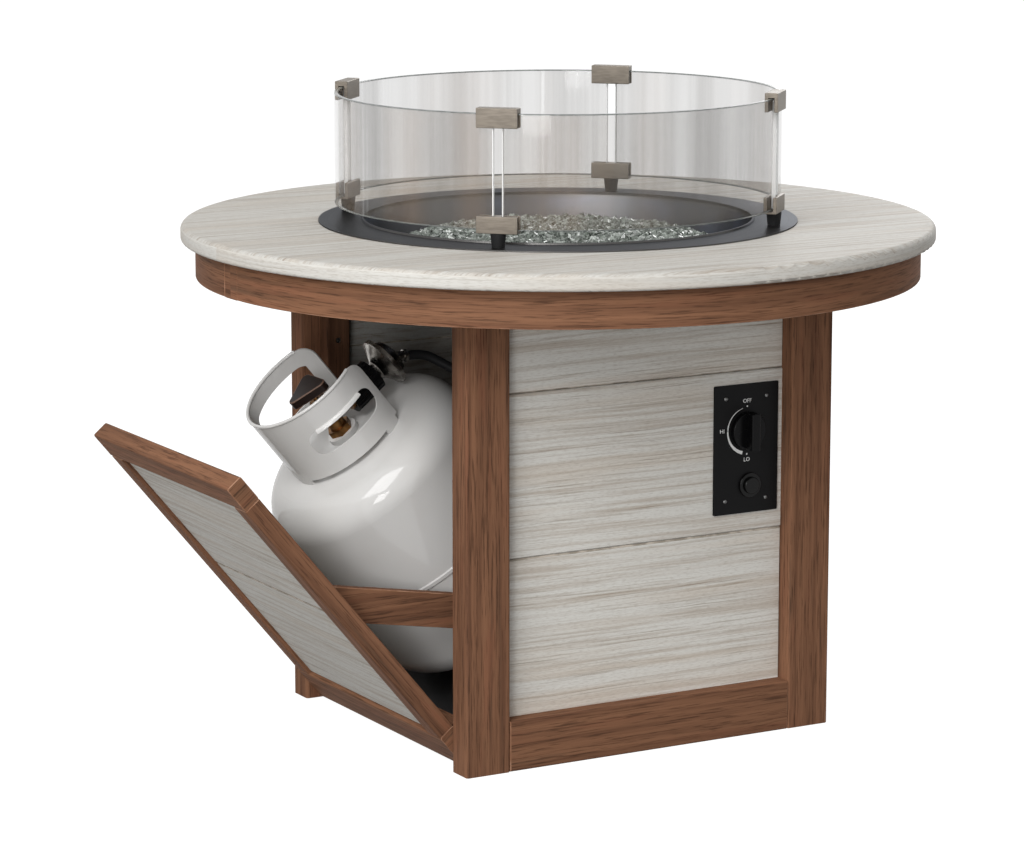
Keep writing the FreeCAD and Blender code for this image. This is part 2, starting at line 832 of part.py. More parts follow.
def make_tank_valve():
    axis = V(tank_x, 0, 0)
    body = rod(axis + V(0, 0, tank_top - 15), Z, boss_bore, 15 + boss_height)
    seat = tank_top + boss_height
    hexagon = Part.Face(Part.makePolygon(hexagon_points(tank_valve_hex, axis + V(0, 0, seat))))
    body = body.fuse(hexagon.extrude(V(0, 0, 10)))
    body = body.fuse(rod(axis + V(0, 0, seat + 10), Z, tank_valve_radius, valve_bonnet_top - seat - 20))
    bonnet = Part.Face(
        Part.makePolygon(hexagon_points(tank_valve_hex - 4, axis + V(0, 0, valve_bonnet_top - 10)))
    )
    body = body.fuse(bonnet.extrude(V(0, 0, 10)))
    top = wheel_bottom + wheel_thick - wheel_skin
    body = body.fuse(rod(axis + V(0, 0, valve_bonnet_top), Z, stem_radius, top - valve_bonnet_top))
    outlet = V(tank_x, 0, valve_axis_z)
    body = body.fuse(rod(outlet, X, tank_outlet_radius, tank_outlet_length))
    thread = outlet + V(tank_outlet_length - 20, 0, 0)
    return body.fuse(rod(thread, X, tank_thread_radius, 20))


def hexagon_points(radius, centre):
    corners = []
    for i in range(7):
        angle = math.radians(60 * i)
        corners.append(centre + V(radius * math.cos(angle), radius * math.sin(angle), 0))
    return corners


def make_handwheel():
    """Three-cornered handwheel, closed over the end of the valve's stem."""
    centre = V(tank_x, 0, wheel_bottom)
    corners = []
    for i in range(4):
        angle = math.radians(60 + 120 * i)
        reach = wheel_reach + wheel_corner
        corners.append(centre + V(reach * math.cos(angle), reach * math.sin(angle), 0))
    wheel = Part.Face(Part.makePolygon(corners)).extrude(V(0, 0, wheel_thick))
    wheel = soften(wheel, wheel_corner, Z)
    depth = wheel_thick - wheel_skin + stem_clearance
    return wheel.cut(rod(centre - Z, Z, stem_radius + stem_clearance, depth + 1))


def make_coupling_nut():
    """Large ribbed nut round the valve's outlet, turning freely on the regulator's inlet."""
    start = V(tank_x + nut_start, 0, valve_axis_z)
    length = nut_end - nut_start
    nut = rod(start, X, nut_radius, length)
    for i in range(nut_ribs):
        angle = math.radians(360 * i / nut_ribs)
        reach = nut_radius + nut_rib_depth
        place = start + V(3, reach * math.cos(angle), reach * math.sin(angle))
        nut = nut.cut(rod(place, X, 2 * nut_rib_depth, length - 6))
    room = tank_thread_radius + hole_clearance
    nut = nut.cut(rod(start - X, X, room, length - nut_wall_end + 1))
    return nut.cut(rod(start - X, X, inlet_radius + stem_clearance, length + 2))


def hose_exit():
    """Place and direction of the regulator's barb tip with the door shut."""
    angle = math.radians(barb_angle)
    way = V(math.cos(angle), 0, math.sin(angle))
    root = V(tank_x + regulator_end - 8, 0, valve_axis_z - 2)
    return root, way


def make_regulator():
    """Inlet nipple, bell that opens to a round rim, dome behind it, and the hose barb."""
    start = tank_x + tank_outlet_length + hole_clearance
    steps = [
        (0, start),
        (inlet_radius, start),
        (inlet_radius, tank_x + regulator_start),
        (regulator_neck, tank_x + regulator_start),
        (regulator_neck + 3, tank_x + regulator_start + 6),
        (regulator_radius - 3, tank_x + regulator_bell),
        (regulator_radius, tank_x + regulator_bell),
        (regulator_radius, tank_x + regulator_rim),
        (regulator_radius - 8, tank_x + regulator_rim),
        (regulator_radius - 14, tank_x + regulator_end - 3),
        (regulator_radius - 20, tank_x + regulator_end),
        (0, tank_x + regulator_end),
    ]
    corners = [V(x, 0, valve_axis_z + r) for r, x in steps]
    face = Part.Face(Part.makePolygon(corners + corners[:1]))
    body = face.revolve(V(0, 0, valve_axis_z), X, 360)
    root, way = hose_exit()
    barb = rod(root, way, barb_radius, barb_length)
    nose = rod(root + way * barb_length, way, barb_radius + 1.5, 6)
    return body.fuse(barb).fuse(nose)


# Hose and pipe paths: straight runs joined by tangent arcs
def rounded_path(points, share=0.45, bend=None):
    edges = []
    at = points[0]
    for i in range(1, len(points) - 1):
        before = points[i] - points[i - 1]
        after = points[i + 1] - points[i]
        turn = before.getAngle(after)
        shorter = min(before.Length, after.Length)
        cut = share * shorter
        if bend:
            cut = bend * math.tan(turn / 2)
        a = V(before).normalize()
        b = V(after).normalize()
        start = points[i] - a * cut
        end = points[i] + b * cut
        radius = cut / math.tan(turn / 2)
        inward = (b - a).normalize()
        middle = points[i] + inward * (radius / math.cos(turn / 2) - radius)
        edges.append(Part.LineSegment(at, start).toShape())
        edges.append(Part.Arc(start, middle, end).toShape())
        at = end
    edges.append(Part.LineSegment(at, points[-1]).toShape())
    return Part.Wire(edges)


def sweep(path, radius):
    first = path.Edges[0]
    start = first.valueAt(first.FirstParameter)
    way = first.tangentAt(first.FirstParameter)
    ring = Part.Wire(Part.makeCircle(radius, start, way))
    return path.makePipeShell([ring], True, False)


def make_hose(valve_port_y, valve_reach):
    """Gas hose from the regulator, over the tank's back and along the front boards up to the valve."""
    root, way = hose_exit()
    tip = root + way * (barb_length + 6)
    marker = Part.LineSegment(tip, tip + way).toShape()
    marker = open_door(marker)
    start = marker.Vertexes[0].Point
    heading = marker.Vertexes[1].Point - start
    end = V(knob_x, valve_port_y, knob_z - valve_reach)
    points = [
        start,
        start + heading * 27,
        V(-206, -8, 553),
        V(-180, -28, 536),
        V(-145, -55, 514),
        V(-103, -85, 486),
        V(-56, -113, 454),
        V(-9, -139, 421),
        V(38, -163, 392),
        V(85, -186, 371),
        V(128, -204, 359),
        V(160, -213, 367),
        end - V(0, 0, 27),
        end,
    ]
    return sweep(rounded_path(points), hose_radius)


def make_feed_pipe(valve_port_y, valve_reach):
    points = [
        V(knob_x, valve_port_y, knob_z + valve_reach),
        V(knob_x, valve_port_y, pipe_turn_height),
        V(0, 0, pipe_turn_height),
        V(0, 0, burner_inlet_bottom),
    ]
    return sweep(rounded_path(points, bend=pipe_bend), pipe_radius)


# Table top, apron and base
save("table_top", make_table_top())
apron_front, apron_back, apron_blocks = make_apron()
save("apron_front", apron_front)
save("apron_back", apron_back)
save_group("apron_joint_blocks", apron_blocks)

stops = []
stop_screws = []
for side in (-1, 1):
    stop, screws = make_stop(side)
    stops.append(stop)
    stop_screws += screws

for name, side_x, side_y in (
    ("post_door_front", -1, -1),
    ("post_far_front", 1, -1),
    ("post_door_back", -1, 1),
    ("post_far_back", 1, 1),
):
    post = make_post(side_x, side_y)
    for screw in stop_screws:
        post = post.cut(screw)
    save(name, post)
save_group("door_stops", stops)
save_group("door_stop_screws", stop_screws)

save("rail_low_front", make_rail_y(-1, 0, low_rail_height))
save("rail_low_back", make_rail_y(1, 0, low_rail_height))
save("rail_low_far", make_rail_x(1, 0, low_rail_height))
save("rail_high_front", make_rail_y(-1, high_rail_bottom, high_rail_top))
save("rail_high_back", make_rail_y(1, high_rail_bottom, high_rail_top))
save("rail_high_far", make_rail_x(1, high_rail_bottom, high_rail_top))
save("rail_high_door", make_rail_x(-1, high_rail_top - door_side_rail_height, high_rail_top))

levels = board_levels()
save("board_front_low", make_board_y(-1, *levels[0]))
save("board_front_middle", make_control_board(make_board_y(-1, *levels[1])))
save("board_front_high", make_board_y(-1, *levels[2]))
save_group("boards_back", [make_board_y(1, *level) for level in levels])
save_group("boards_far", [make_board_x(*level) for level in levels])

# Burner
burner = make_burner()
save("burner_pan", make_burner_pan())
save("burner", burner)
save("fire_glass", make_glass_bed(burner))

# Wind guard
for i, pane in enumerate(make_panes()):
    save("guard_pane_" + str(i + 1), pane)
fittings = make_guard_fittings()
save_group("guard_clips_high", fittings["high"])
save_group("guard_clips_low", fittings["low"])
save_group("guard_feet", fittings["feet"])

# Controls
gas_valve, port_y, port_reach = make_gas_valve()
igniter, igniter_button = make_igniter()
save("control_plate", make_control_plate())
save_group("control_plate_screws", make_plate_screws())
save("gas_valve", gas_valve)
save("control_knob", make_knob())
save("igniter", igniter)
save("igniter_button", igniter_button)
save("burner_feed_pipe", make_feed_pipe(port_y, port_reach))
save("gas_hose", make_hose(port_y, port_reach))

# Door
pins = [make_pivot_pin(side) for side in (-1, 1)]
low_rail = make_door_rail(door_bottom, door_bottom + door_low_rail)
for pin in pins:
    low_rail = low_rail.cut(pin)
seam = door_top - door_board_seam_drop
save("door_rail_low", open_door(low_rail))
save("door_rail_high", open_door(make_door_rail(door_top - door_high_rail, door_top)))
save("door_stile_front", open_door(make_door_stile(-1)))
save("door_stile_back", open_door(make_door_stile(1)))
save("door_board_low", open_door(make_door_board(door_bottom + door_low_rail, seam - board_gap / 2)))
save("door_board_high", open_door(make_door_board(seam + board_gap / 2, door_top - door_high_rail)))
save_group("door_pins", [open_door(pin) for pin in pins])

# Carriage
save("tank_tray", open_door(make_tray()))
save_group("tray_braces", [open_door(make_brace(side)) for side in (-1, 1)])
save("tray_cleat", open_door(make_carriage_cleat()))

# Tank
full_tank = dome_solid(0)
save("tank_shell", open_door(make_shell(full_tank)))
save("tank_foot_ring", open_door(make_foot_ring(full_tank)))
save("tank_collar", open_door(make_collar(full_tank)))
save("tank_valve", open_door(make_tank_valve()))
save("tank_handwheel", open_door(make_handwheel()))
save("coupling_nut", open_door(make_coupling_nut()))
save("regulator", open_door(make_regulator()))
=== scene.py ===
import math
import random

import bpy
from mathutils import Matrix, Vector
from mathutils.bvhtree import BVHTree


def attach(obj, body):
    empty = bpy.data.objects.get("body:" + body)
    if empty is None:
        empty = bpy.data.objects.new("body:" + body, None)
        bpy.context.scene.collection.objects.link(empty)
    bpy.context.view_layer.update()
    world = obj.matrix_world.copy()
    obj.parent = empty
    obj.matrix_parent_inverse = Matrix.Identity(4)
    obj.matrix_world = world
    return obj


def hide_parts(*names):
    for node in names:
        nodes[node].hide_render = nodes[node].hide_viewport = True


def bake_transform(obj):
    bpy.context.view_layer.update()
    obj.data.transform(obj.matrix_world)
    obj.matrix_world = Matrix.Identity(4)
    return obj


# Round fire pit table with a glass wind guard and a tilt-out tank door.
# Metres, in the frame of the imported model: the floor is z = 0, the door side is -X.

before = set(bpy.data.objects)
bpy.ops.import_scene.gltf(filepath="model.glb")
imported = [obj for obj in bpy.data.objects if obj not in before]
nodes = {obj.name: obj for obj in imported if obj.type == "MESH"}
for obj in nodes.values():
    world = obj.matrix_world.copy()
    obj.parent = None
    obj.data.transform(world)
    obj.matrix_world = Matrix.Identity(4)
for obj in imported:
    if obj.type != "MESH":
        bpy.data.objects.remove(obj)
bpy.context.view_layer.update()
print("frame loaded:", len(nodes), "nodes")


def tone(red, green, blue):  # a screen colour, 0 to 255, as the linear colour a shader wants
    parts = []
    for part in (red, green, blue):
        part /= 255
        parts.append(part / 12.92 if part <= 0.04045 else ((part + 0.055) / 1.055) ** 2.4)
    return (*parts, 1.0)


class Value:  # a node's output, ready for sums
    def __init__(self, finish, socket):
        self.finish = finish
        self.socket = socket

    def math(self, operation, *values):
        return self.finish.node("ShaderNodeMath", {"operation": operation}, dict(enumerate(values)))

    def __add__(self, other):
        return self.math("ADD", self, other)

    def __radd__(self, other):
        return self.math("ADD", other, self)

    def __sub__(self, other):
        return self.math("SUBTRACT", self, other)

    def __rsub__(self, other):
        return self.math("SUBTRACT", other, self)

    def __mul__(self, other):
        return self.math("MULTIPLY", self, other)

    def __rmul__(self, other):
        return self.math("MULTIPLY", other, self)

    def over(self, low, high):  # 0 below low, 1 above high, smooth between
        return self.finish.node(
            "ShaderNodeMapRange",
            {"interpolation_type": "SMOOTHSTEP"},
            {"Value": self, "From Min": low, "From Max": high},
        )


class Finish:  # one material and the nodes in it
    def __init__(self, name):
        self.material = bpy.data.materials.new(name)
        self.material.use_nodes = True
        self.tree = self.material.node_tree
        self.tree.nodes.clear()

    def node(self, kind, settings=None, values=None, output=0):
        made = self.tree.nodes.new(kind)
        for name, setting in (settings or {}).items():
            setattr(made, name, setting)
        for name, value in (values or {}).items():
            if isinstance(value, Value):
                self.tree.links.new(value.socket, made.inputs[name])
            else:
                made.inputs[name].default_value = value
        return Value(self, made.outputs[output])

    def split(self, vector):
        parts = self.node("ShaderNodeSeparateXYZ", None, {0: vector})
        return [Value(self, out) for out in parts.socket.node.outputs]

    def place(self):  # object coordinates as three values
        return self.split(self.node("ShaderNodeTexCoord", output="Object"))

    def vector(self, x, y, z):
        return self.node("ShaderNodeCombineXYZ", None, {0: x, 1: y, 2: z})

    def noise(self, vector, scale=1.0, detail=3.0, rough=0.5):
        values = {"Vector": vector, "Scale": scale, "Detail": detail, "Roughness": rough}
        return self.node("ShaderNodeTexNoise", None, values)

    def speckle(self, place, scale, detail=2.0):  # noise as fine in every direction
        return self.noise(self.vector(*(part * scale for part in place)), detail=detail)

    def grain(self, axes, setup):  # noise stretched along a board: waves per metre on its three axes
        a, c, d = axes
        along, cross, deep = setup["waves"]
        vector = self.vector(a * along + setup.get("shift", 0.0), c * cross, d * deep)
        return self.noise(vector, detail=setup["detail"], rough=setup.get("rough", 0.5))

    def mix(self, share, first, second, blend="MIX"):  # sockets 6 and 7 take the colours
        return self.node(
            "ShaderNodeMix",
            {"data_type": "RGBA", "blend_type": blend},
            {0: share, 6: first, 7: second},
            output=2,
        )

    def coat(self, colour, shade, noise, start, full, strength=1.0):  # a shade where the noise is high
        return self.mix(noise.over(start, full) * strength, colour, shade)

    def bump(self, height, strength, distance):
        values = {"Height": height, "Strength": strength, "Distance": distance}
        return self.node("ShaderNodeBump", None, values)


def makeOutput(finish, shader):
    out = finish.tree.nodes.new("ShaderNodeOutputMaterial")
    finish.tree.links.new(shader.socket, out.inputs["Surface"])
    return finish.material


def surface(finish, values):
    return makeOutput(finish, finish.node("ShaderNodeBsdfPrincipled", None, values))


# Camera: pitched a little down, with the photograph's own framing
cameraSetup = {
    "place": (-2.8162, -4.8360, 1.5032),
    "turn": -29.518,
    "down": 10.808,
    "focalPixels": 3796.6,
    "framePixels": 1024,
    "sensor": 36.0,
}


def makeCamera(setup):
    data = bpy.data.cameras.new("camera")
    data.sensor_width = setup["sensor"]
    data.lens = setup["focalPixels"] / setup["framePixels"] * setup["sensor"]
    camera = bpy.data.objects.new("camera", data)
    bpy.context.scene.collection.objects.link(camera)
    camera.location = setup["place"]
    camera.rotation_euler = (math.radians(90 - setup["down"]), 0, math.radians(setup["turn"]))
    bpy.context.scene.camera = camera


makeCamera(cameraSetup)

# Studio: pale floor, even world and soft boxes
studio = {
    "floorSize": 60.0,
    "floorColour": tone(132, 132, 132),
    "floorGlow": 0.93,
    "worldLight": 0.45,
    "softBoxes": {
        "boxKey": {"place": (-4.2, -2.7, 3.8), "aim": (0.0, 0.0, 0.4), "size": 3.2, "power": 258.0},
        "boxFront": {"place": (-0.9, -4.7, 1.5), "aim": (0.0, 0.0, 0.4), "size": 2.0, "power": 8.0},
        "boxLow": {"place": (-3.7, -4.3, 1.0), "aim": (-0.1, 0.0, 0.4), "size": 1.4, "power": 68.0},
        "boxBack": {"place": (4.2, 3.4, 2.6), "aim": (0.0, 0.0, 0.4), "size": 3.0, "power": 110.0},
    },
}


def lookedAt(tree):  # 1 for rays from the camera, also by way of glass or a reflection
    path = tree.nodes.new("ShaderNodeLightPath")
    seen = path
    for ray in ("Is Camera Ray", "Is Transmission Ray", "Is Glossy Ray"):
        either = tree.nodes.new("ShaderNodeMath")
        either.operation = "MAXIMUM"
        tree.links.new(seen.outputs[0], either.inputs[0])
        tree.links.new(path.outputs[ray], either.inputs[1])
        seen = either
    return seen


def makeStudio(setup):
    scene = bpy.context.scene
    scene.view_settings.view_transform = "Standard"
    world = bpy.data.worlds.new("world")
    scene.world = world
    world.use_nodes = True
    tree = world.node_tree
    tree.nodes.clear()
    seen = lookedAt(tree)
    level = tree.nodes.new("ShaderNodeMapRange")
    tree.links.new(seen.outputs[0], level.inputs["Value"])
    level.inputs["To Min"].default_value = setup["worldLight"]
    level.inputs["To Max"].default_value = 1.0
    background = tree.nodes.new("ShaderNodeBackground")
    background.inputs["Color"].default_value = (1, 1, 1, 1)
    tree.links.new(level.outputs[0], background.inputs["Strength"])
    output = tree.nodes.new("ShaderNodeOutputWorld")
    tree.links.new(background.outputs[0], output.inputs["Surface"])

    finish = Finish("floorPaint")
    seen = Value(finish, lookedAt(finish.tree).outputs[0])
    matt = finish.node("ShaderNodeBsdfDiffuse", None, {"Color": setup["floorColour"]})
    glow = finish.node("ShaderNodeEmission", None, {"Strength": seen * setup["floorGlow"]})
    both = finish.node("ShaderNodeAddShader", None, {0: matt, 1: glow})
    bpy.ops.object.select_all(action="DESELECT")
    bpy.ops.mesh.primitive_plane_add(size=setup["floorSize"], location=(0, 0, 0))
    floor = bpy.context.object
    floor.name = "floor"
    floor.data.materials.append(makeOutput(finish, both))

    for name, box in setup["softBoxes"].items():
        light = bpy.data.lights.new(name, "AREA")
        light.shape = "SQUARE"
        light.size = box["size"]
        light.energy = box["power"]
        lamp = bpy.data.objects.new(name, light)
        scene.collection.objects.link(lamp)
        lamp.location = box["place"]
        away = Vector(box["place"]) - Vector(box["aim"])
        lamp.rotation_euler = away.to_track_quat("Z", "Y").to_euler()


makeStudio(studio)
print("camera and studio ready")


# Brown wood-grain boards: short fine dark lines over soft streaks, with hardly any gloss
brownWood = {
    "dark": tone(102, 71, 54),
    "light": tone(137, 98, 74),
    "red": tone(133, 87, 66),
    "streak": tone(82, 65, 53),
    "pore": tone(50, 35, 28),
    # the colour of the painted highlight on the boards' broken edges
    "paintedEdge": tone(160, 122, 98),
    "roughness": 0.58,
    "poreRoughness": 0.14,
    "gloss": 0.05,
    "wander": 0.010,  # metres that the grain strays sideways
    "poreRelief": -0.7,
    "crackRelief": 0.5,
    "layers": {
        "sway": {"waves": (2.0, 9.0, 9.0), "detail": 2.0},
        "broad": {"waves": (2.0, 90.0, 90.0), "detail": 3.0},
        "warm": {"waves": (5.0, 60.0, 60.0), "shift": 7.3, "detail": 2.0},
        "streak": {"waves": (2.6, 90.0, 90.0), "shift": 3.1, "detail": 4.0, "rough": 0.65},
        "pore": {"waves": (17.0, 400.0, 400.0), "detail": 3.0, "rough": 0.6},
        "crack": {"waves": (8.0, 260.0, 260.0), "shift": 1.7, "detail": 3.0, "rough": 0.6},
    },
    # Coats over the dark wood: layer, colour, noise where it starts and where it is full, strength
    "coats": [
        ("broad", "light", 0.22, 0.72, 1.0),
        ("warm", "red", 0.52, 0.72, 0.4),
        ("streak", "streak", 0.56, 0.72, 0.52),
        ("pore", "pore", 0.50, 0.68, 0.58),
        ("crack", "pore", 0.58, 0.70, 0.42),
    ],
}
boardRelief = (0.35, 0.0005)  # strength and depth of the bumps on all boards


def brownFinish(name, along, cross, deep, level=1.0):
    finish = Finish(name)
    wood = brownWood
    layers = wood["layers"]
    place = finish.place()
    a, c, d = (pick(*place) for pick in (along, cross, deep))
    c = c + (finish.grain((a, c, d), layers["sway"]) - 0.5) * wood["wander"]
    noises = {layer: finish.grain((a, c, d), layers[layer]) for layer in layers if layer != "sway"}
    colour = wood["dark"]
    for layer, shade, *reach in wood["coats"]:
        colour = finish.coat(colour, wood[shade], noises[layer], *reach)
    colour = finish.mix(1.0, colour, (level, level, level, 1.0), "MULTIPLY")
    rough = wood["roughness"] + noises["pore"] * wood["poreRoughness"]
    relief = noises["pore"] * wood["poreRelief"] - noises["crack"] * wood["crackRelief"]
    bumps = finish.bump(relief, *boardRelief)
    values = {"Base Color": colour, "Roughness": rough, "Normal": bumps, "Specular IOR Level": wood["gloss"]}
    return surface(finish, values)


def paintedEdgeFinish(name, colour, pale):  # painted edges: a painted highlight along the brown boards' broken edges, painted shade along the grey boards' edges and seams
    finish = Finish(name)
    edgeMottle = finish.speckle(finish.place(), 45.0, 3.0)
    blend = finish.mix(edgeMottle.over(0.40, 0.62), colour, pale)
    return surface(finish, {"Base Color": blend, "Roughness": 0.52 + edgeMottle * 0.1, "Specular IOR Level": 0.1})


# Whitewashed wood-grain boards: tan lines of a hand's length over pale, faintly pitted skin
greyWood = {
    "base": tone(220, 218, 212),
    "shade": tone(190, 180, 168),
    "warm": tone(210, 200, 187),
    "line": tone(134, 115, 95),
    # the colour of the painted shade along the boards' broken edges and in their seams
    "paintedEdge": tone(150, 142, 130),
    "roughness": 0.55,
    "pitRoughness": 0.12,
    "gloss": 0.15,
    "wander": 0.022,  # metres that the grain strays sideways, in long and in short waves
    "shiver": 0.003,
    "pitRelief": -0.6,
    "lineRelief": 0.8,
    "layers": {
        "sway": {"waves": (1.3, 4.0, 4.0), "detail": 2.0},
        "ripple": {"waves": (8.0, 22.0, 22.0), "detail": 1.0},
        "broad": {"waves": (2.0, 130.0, 9.0), "detail": 4.0, "rough": 0.7},
        "warm": {"waves": (2.0, 30.0, 5.0), "shift": 5.7, "detail": 2.0},
        "line": {"waves": (4.4, 360.0, 12.0), "shift": 11.0, "detail": 4.0, "rough": 0.75},
        "group": {"waves": (2.6, 50.0, 6.0), "shift": 2.0, "detail": 1.0},
        "pit": {"waves": (110.0, 900.0, 300.0), "detail": 2.0},
    },
    # Noise where each coat starts and where it is full, and its strength
    "shadeCoat": (0.44, 0.66, 0.85),
    "warmCoat": (0.48, 0.68, 0.5),
    "lineCoat": (0.50, 0.70),
    "pitCoat": (0.45, 0.75, 0.26),
    "lineGroups": (0.38, 0.62),  # the lines come in groups
    "inGroup": 0.56,  # how much stronger a line is in a group than between groups
    "betweenGroups": 0.20,
}


def greyFinish(name, along, cross, deep, spread=1.0, level=1.0, lines=1.0):  # spread widens the pattern
    finish = Finish(name)
    wood = greyWood
    layers = wood["layers"]
    place = finish.place()
    a, c, d = (pick(*place) for pick in (along, cross, deep))
    sway = finish.grain((a, c, d), layers["sway"]) - 0.5
    ripple = finish.grain((a, c, d), layers["ripple"]) - 0.5
    c = c + sway * (wood["wander"] * spread) + ripple * wood["shiver"]
    pit = finish.grain((a, c, d), layers["pit"])
    wide = (a, c * (1.0 / spread), d)
    broad, warm, line, group = (finish.grain(wide, layers[n]) for n in ("broad", "warm", "line", "group"))
    start, full, strength = wood["shadeCoat"]
    colour = finish.coat(wood["base"], wood["shade"], broad, start, full, strength * lines)
    colour = finish.coat(colour, wood["warm"], warm, *wood["warmCoat"])
    drawn = (group.over(*wood["lineGroups"]) * wood["inGroup"] + wood["betweenGroups"]) * lines
    colour = finish.coat(colour, wood["line"], line, *wood["lineCoat"], drawn)
    colour = finish.coat(colour, wood["line"], pit, *wood["pitCoat"])
    colour = finish.mix(1.0, colour, (level, level, level, 1.0), "MULTIPLY")
    rough = wood["roughness"] + pit * wood["pitRoughness"]
    bumps = finish.bump(pit * wood["pitRelief"] - line * wood["lineRelief"], *boardRelief)
    values = {"Base Color": colour, "Roughness": rough, "Normal": bumps, "Specular IOR Level": wood["gloss"]}
    return surface(finish, values)


# The open door leans out by this angle, so its grain is read on turned axes
doorLean = math.radians(39.8)
apronFace = 0.5374  # radius of the apron's outer face
boardSeams = (0.3043, 0.5425)  # heights of the gaps between boards


def alongX(x, y, z):
    return x


def alongY(x, y, z):
    return y


def alongZ(x, y, z):
    return z


def upDoor(x, y, z):
    return z * math.cos(doorLean) - x * math.sin(doorLean)


def outDoor(x, y, z):
    return x * math.cos(doorLean) + z * math.sin(doorLean)


def turnRound(x, y):  # angle about the table's axis
    return y.math("ARCTAN2", y, x)


def roundRing(x, y, z):  # metres along the apron's face
    return turnRound(x, y) * apronFace


def fromCentre(x, y, z):
    return (x * x + y * y).math("SQRT", x * x + y * y)


def jumps(run, z, *steps):  # the pattern jumps at each seam between boards
    for seam, step in zip(boardSeams, steps):
        run = run + z.math("GREATER_THAN", z, seam) * step
    return run


def boardRun(x, y, z):
    return jumps(x, z, 3.7, 5.9)


def boardRunY(x, y, z):
    return jumps(y, z, 2.9, 4.3) + x * 3.0


finishes = {
    "brownX": brownFinish("brownX", alongX, alongZ, alongY),
    "brownY": brownFinish("brownY", alongY, alongZ, alongX),
    "brownZ": brownFinish("brownZ", alongZ, alongX, alongY),
    "brownRing": brownFinish("brownRing", roundRing, alongZ, fromCentre),
    "brownDoorY": brownFinish("brownDoorY", alongY, upDoor, outDoor),
    "brownDoorUp": brownFinish("brownDoorUp", upDoor, alongY, outDoor),
    "brownDoorOut": brownFinish("brownDoorOut", outDoor, upDoor, alongY),
    # the door stops carry painted shade: their wood is darkened to 0.55
    "brownStopPaintedShade": brownFinish("brownStopPaintedShade", alongZ, alongX, alongY, 0.55),
    # painted highlight along the brown boards' broken edges
    "brownArris": paintedEdgeFinish("brownArris", brownWood["light"], brownWood["paintedEdge"]),
    "greyX": greyFinish("greyX", boardRun, alongZ, alongY, 1.0, 0.98),
    "greyY": greyFinish("greyY", boardRunY, alongZ, alongX),
    "greyBack": greyFinish("greyBack", boardRun, alongZ, alongY),
    "greyDoor": greyFinish("greyDoor", alongY, upDoor, outDoor, 1.0, 0.93),
    # the cabinet's inside faces carry painted shade: their wood is darkened to 0.45
    "greyInside": greyFinish("greyInside", boardRunY, alongZ, alongX, 1.0, 0.45),
    # the top carries painted shade: its wood is darkened to 0.82 against the light that falls on it from
    # above
    "greyTopPaintedShade": greyFinish("greyTopPaintedShade", alongX, alongY, alongZ, 1.1, 0.82),
    "greyRim": greyFinish("greyRim", roundRing, alongZ, fromCentre, 1.0, 0.86, 0.45),
    # painted shade along the grey boards' broken edges and seams
    "greyArris": paintedEdgeFinish("greyArris", greyWood["paintedEdge"], greyWood["shade"]),
}
print("wood finishes ready")


def metalFinish(name, colour, dark, roughness, grain, metallic=1.0):
    finish = Finish(name)
    x, y, z = finish.place()
    gx, gy, gz = grain
    brush = finish.noise(finish.vector(x * gx, y * gy, z * gz), detail=3.0)
    smudge = finish.speckle((x, y, z), 18.0)
    blend = finish.mix(brush.over(0.3, 0.7), dark, colour)
    rough = roughness + (brush - 0.5) * 0.16 + (smudge - 0.5) * 0.12
    bumps = finish.bump(brush, 0.12, 0.0002)
    return surface(finish, {"Base Color": blend, "Metallic": metallic, "Roughness": rough, "Normal": bumps})


def paintFinish(name, colour, dark, roughness, peel, coat=0.0, gloss=0.5):
    finish = Finish(name)
    x, y, z = finish.place()
    spot = finish.vector(x, y, z)
    cloud = finish.noise(spot, 9.0, 3.0)
    skin = finish.noise(spot, 700.0, 2.0)
    dust = finish.noise(spot, 140.0, 4.0, 0.7)
    blend = finish.coat(colour, dark, cloud, 0.35, 0.75, 0.6)
    blend = finish.coat(blend, dark, dust, 0.62, 0.8, 0.4)
    bumps = finish.bump(skin, peel, 0.0003)
    values = {"Base Color": blend, "Roughness": roughness + (dust - 0.5) * 0.12, "Normal": bumps}
    values.update({"Coat Weight": coat, "Specular IOR Level": gloss})
    return surface(finish, values)


panSteel = {
    "base": tone(98, 97, 96),
    "ring": tone(86, 85, 84),
    # colour of the painted sheen, a bluish painted reflection on the bowl
    "paintedSheen": tone(118, 124, 138),
    "smudge": tone(92, 88, 86),
    "edgeTint": (0.34, 0.35, 0.37, 1.0),
    "roughness": 0.36,
    "brim": (0.742, 0.750),  # heights between which the bowl's painted sheen, a painted reflection, fades out
}


def panFinish(setup):  # dark steel, brushed in rings, with an uneven painted sheen round the bowl: a bluish painted reflection
    finish = Finish("panSteel")
    x, y, z = finish.place()
    radius = fromCentre(x, y, z)
    turn = turnRound(x, y)
    ring = finish.noise(finish.vector(radius * 420.0, z * 160.0, 0.0), detail=2.0)
    around = finish.vector(turn.math("COSINE", turn) * 1.6, turn.math("SINE", turn) * 1.6, z * 9.0)
    paintedSheen = finish.noise(around, detail=3.0)
    smudge = finish.speckle((x, y, z), 9.0)
    colour = finish.coat(setup["base"], setup["ring"], ring, 0.3, 0.7, 0.3)
    bowl = 1.0 - z.over(*setup["brim"])
    # painted reflection: the bluish sheen is laid over the bowl below the brim
    colour = finish.mix((paintedSheen.over(0.46, 0.68) * 0.6 + 0.2) * bowl, colour, setup["paintedSheen"])
    colour = finish.coat(colour, setup["smudge"], smudge, 0.50, 0.75, 0.3)
    rough = setup["roughness"] + (ring - 0.5) * 0.06 + (smudge - 0.5) * 0.08
    bumps = finish.bump(ring, 0.02, 0.0002)
    values = {"Base Color": colour, "Metallic": 1.0, "Roughness": rough, "Normal": bumps}
    return surface(finish, {**values, "Specular Tint": setup["edgeTint"]})


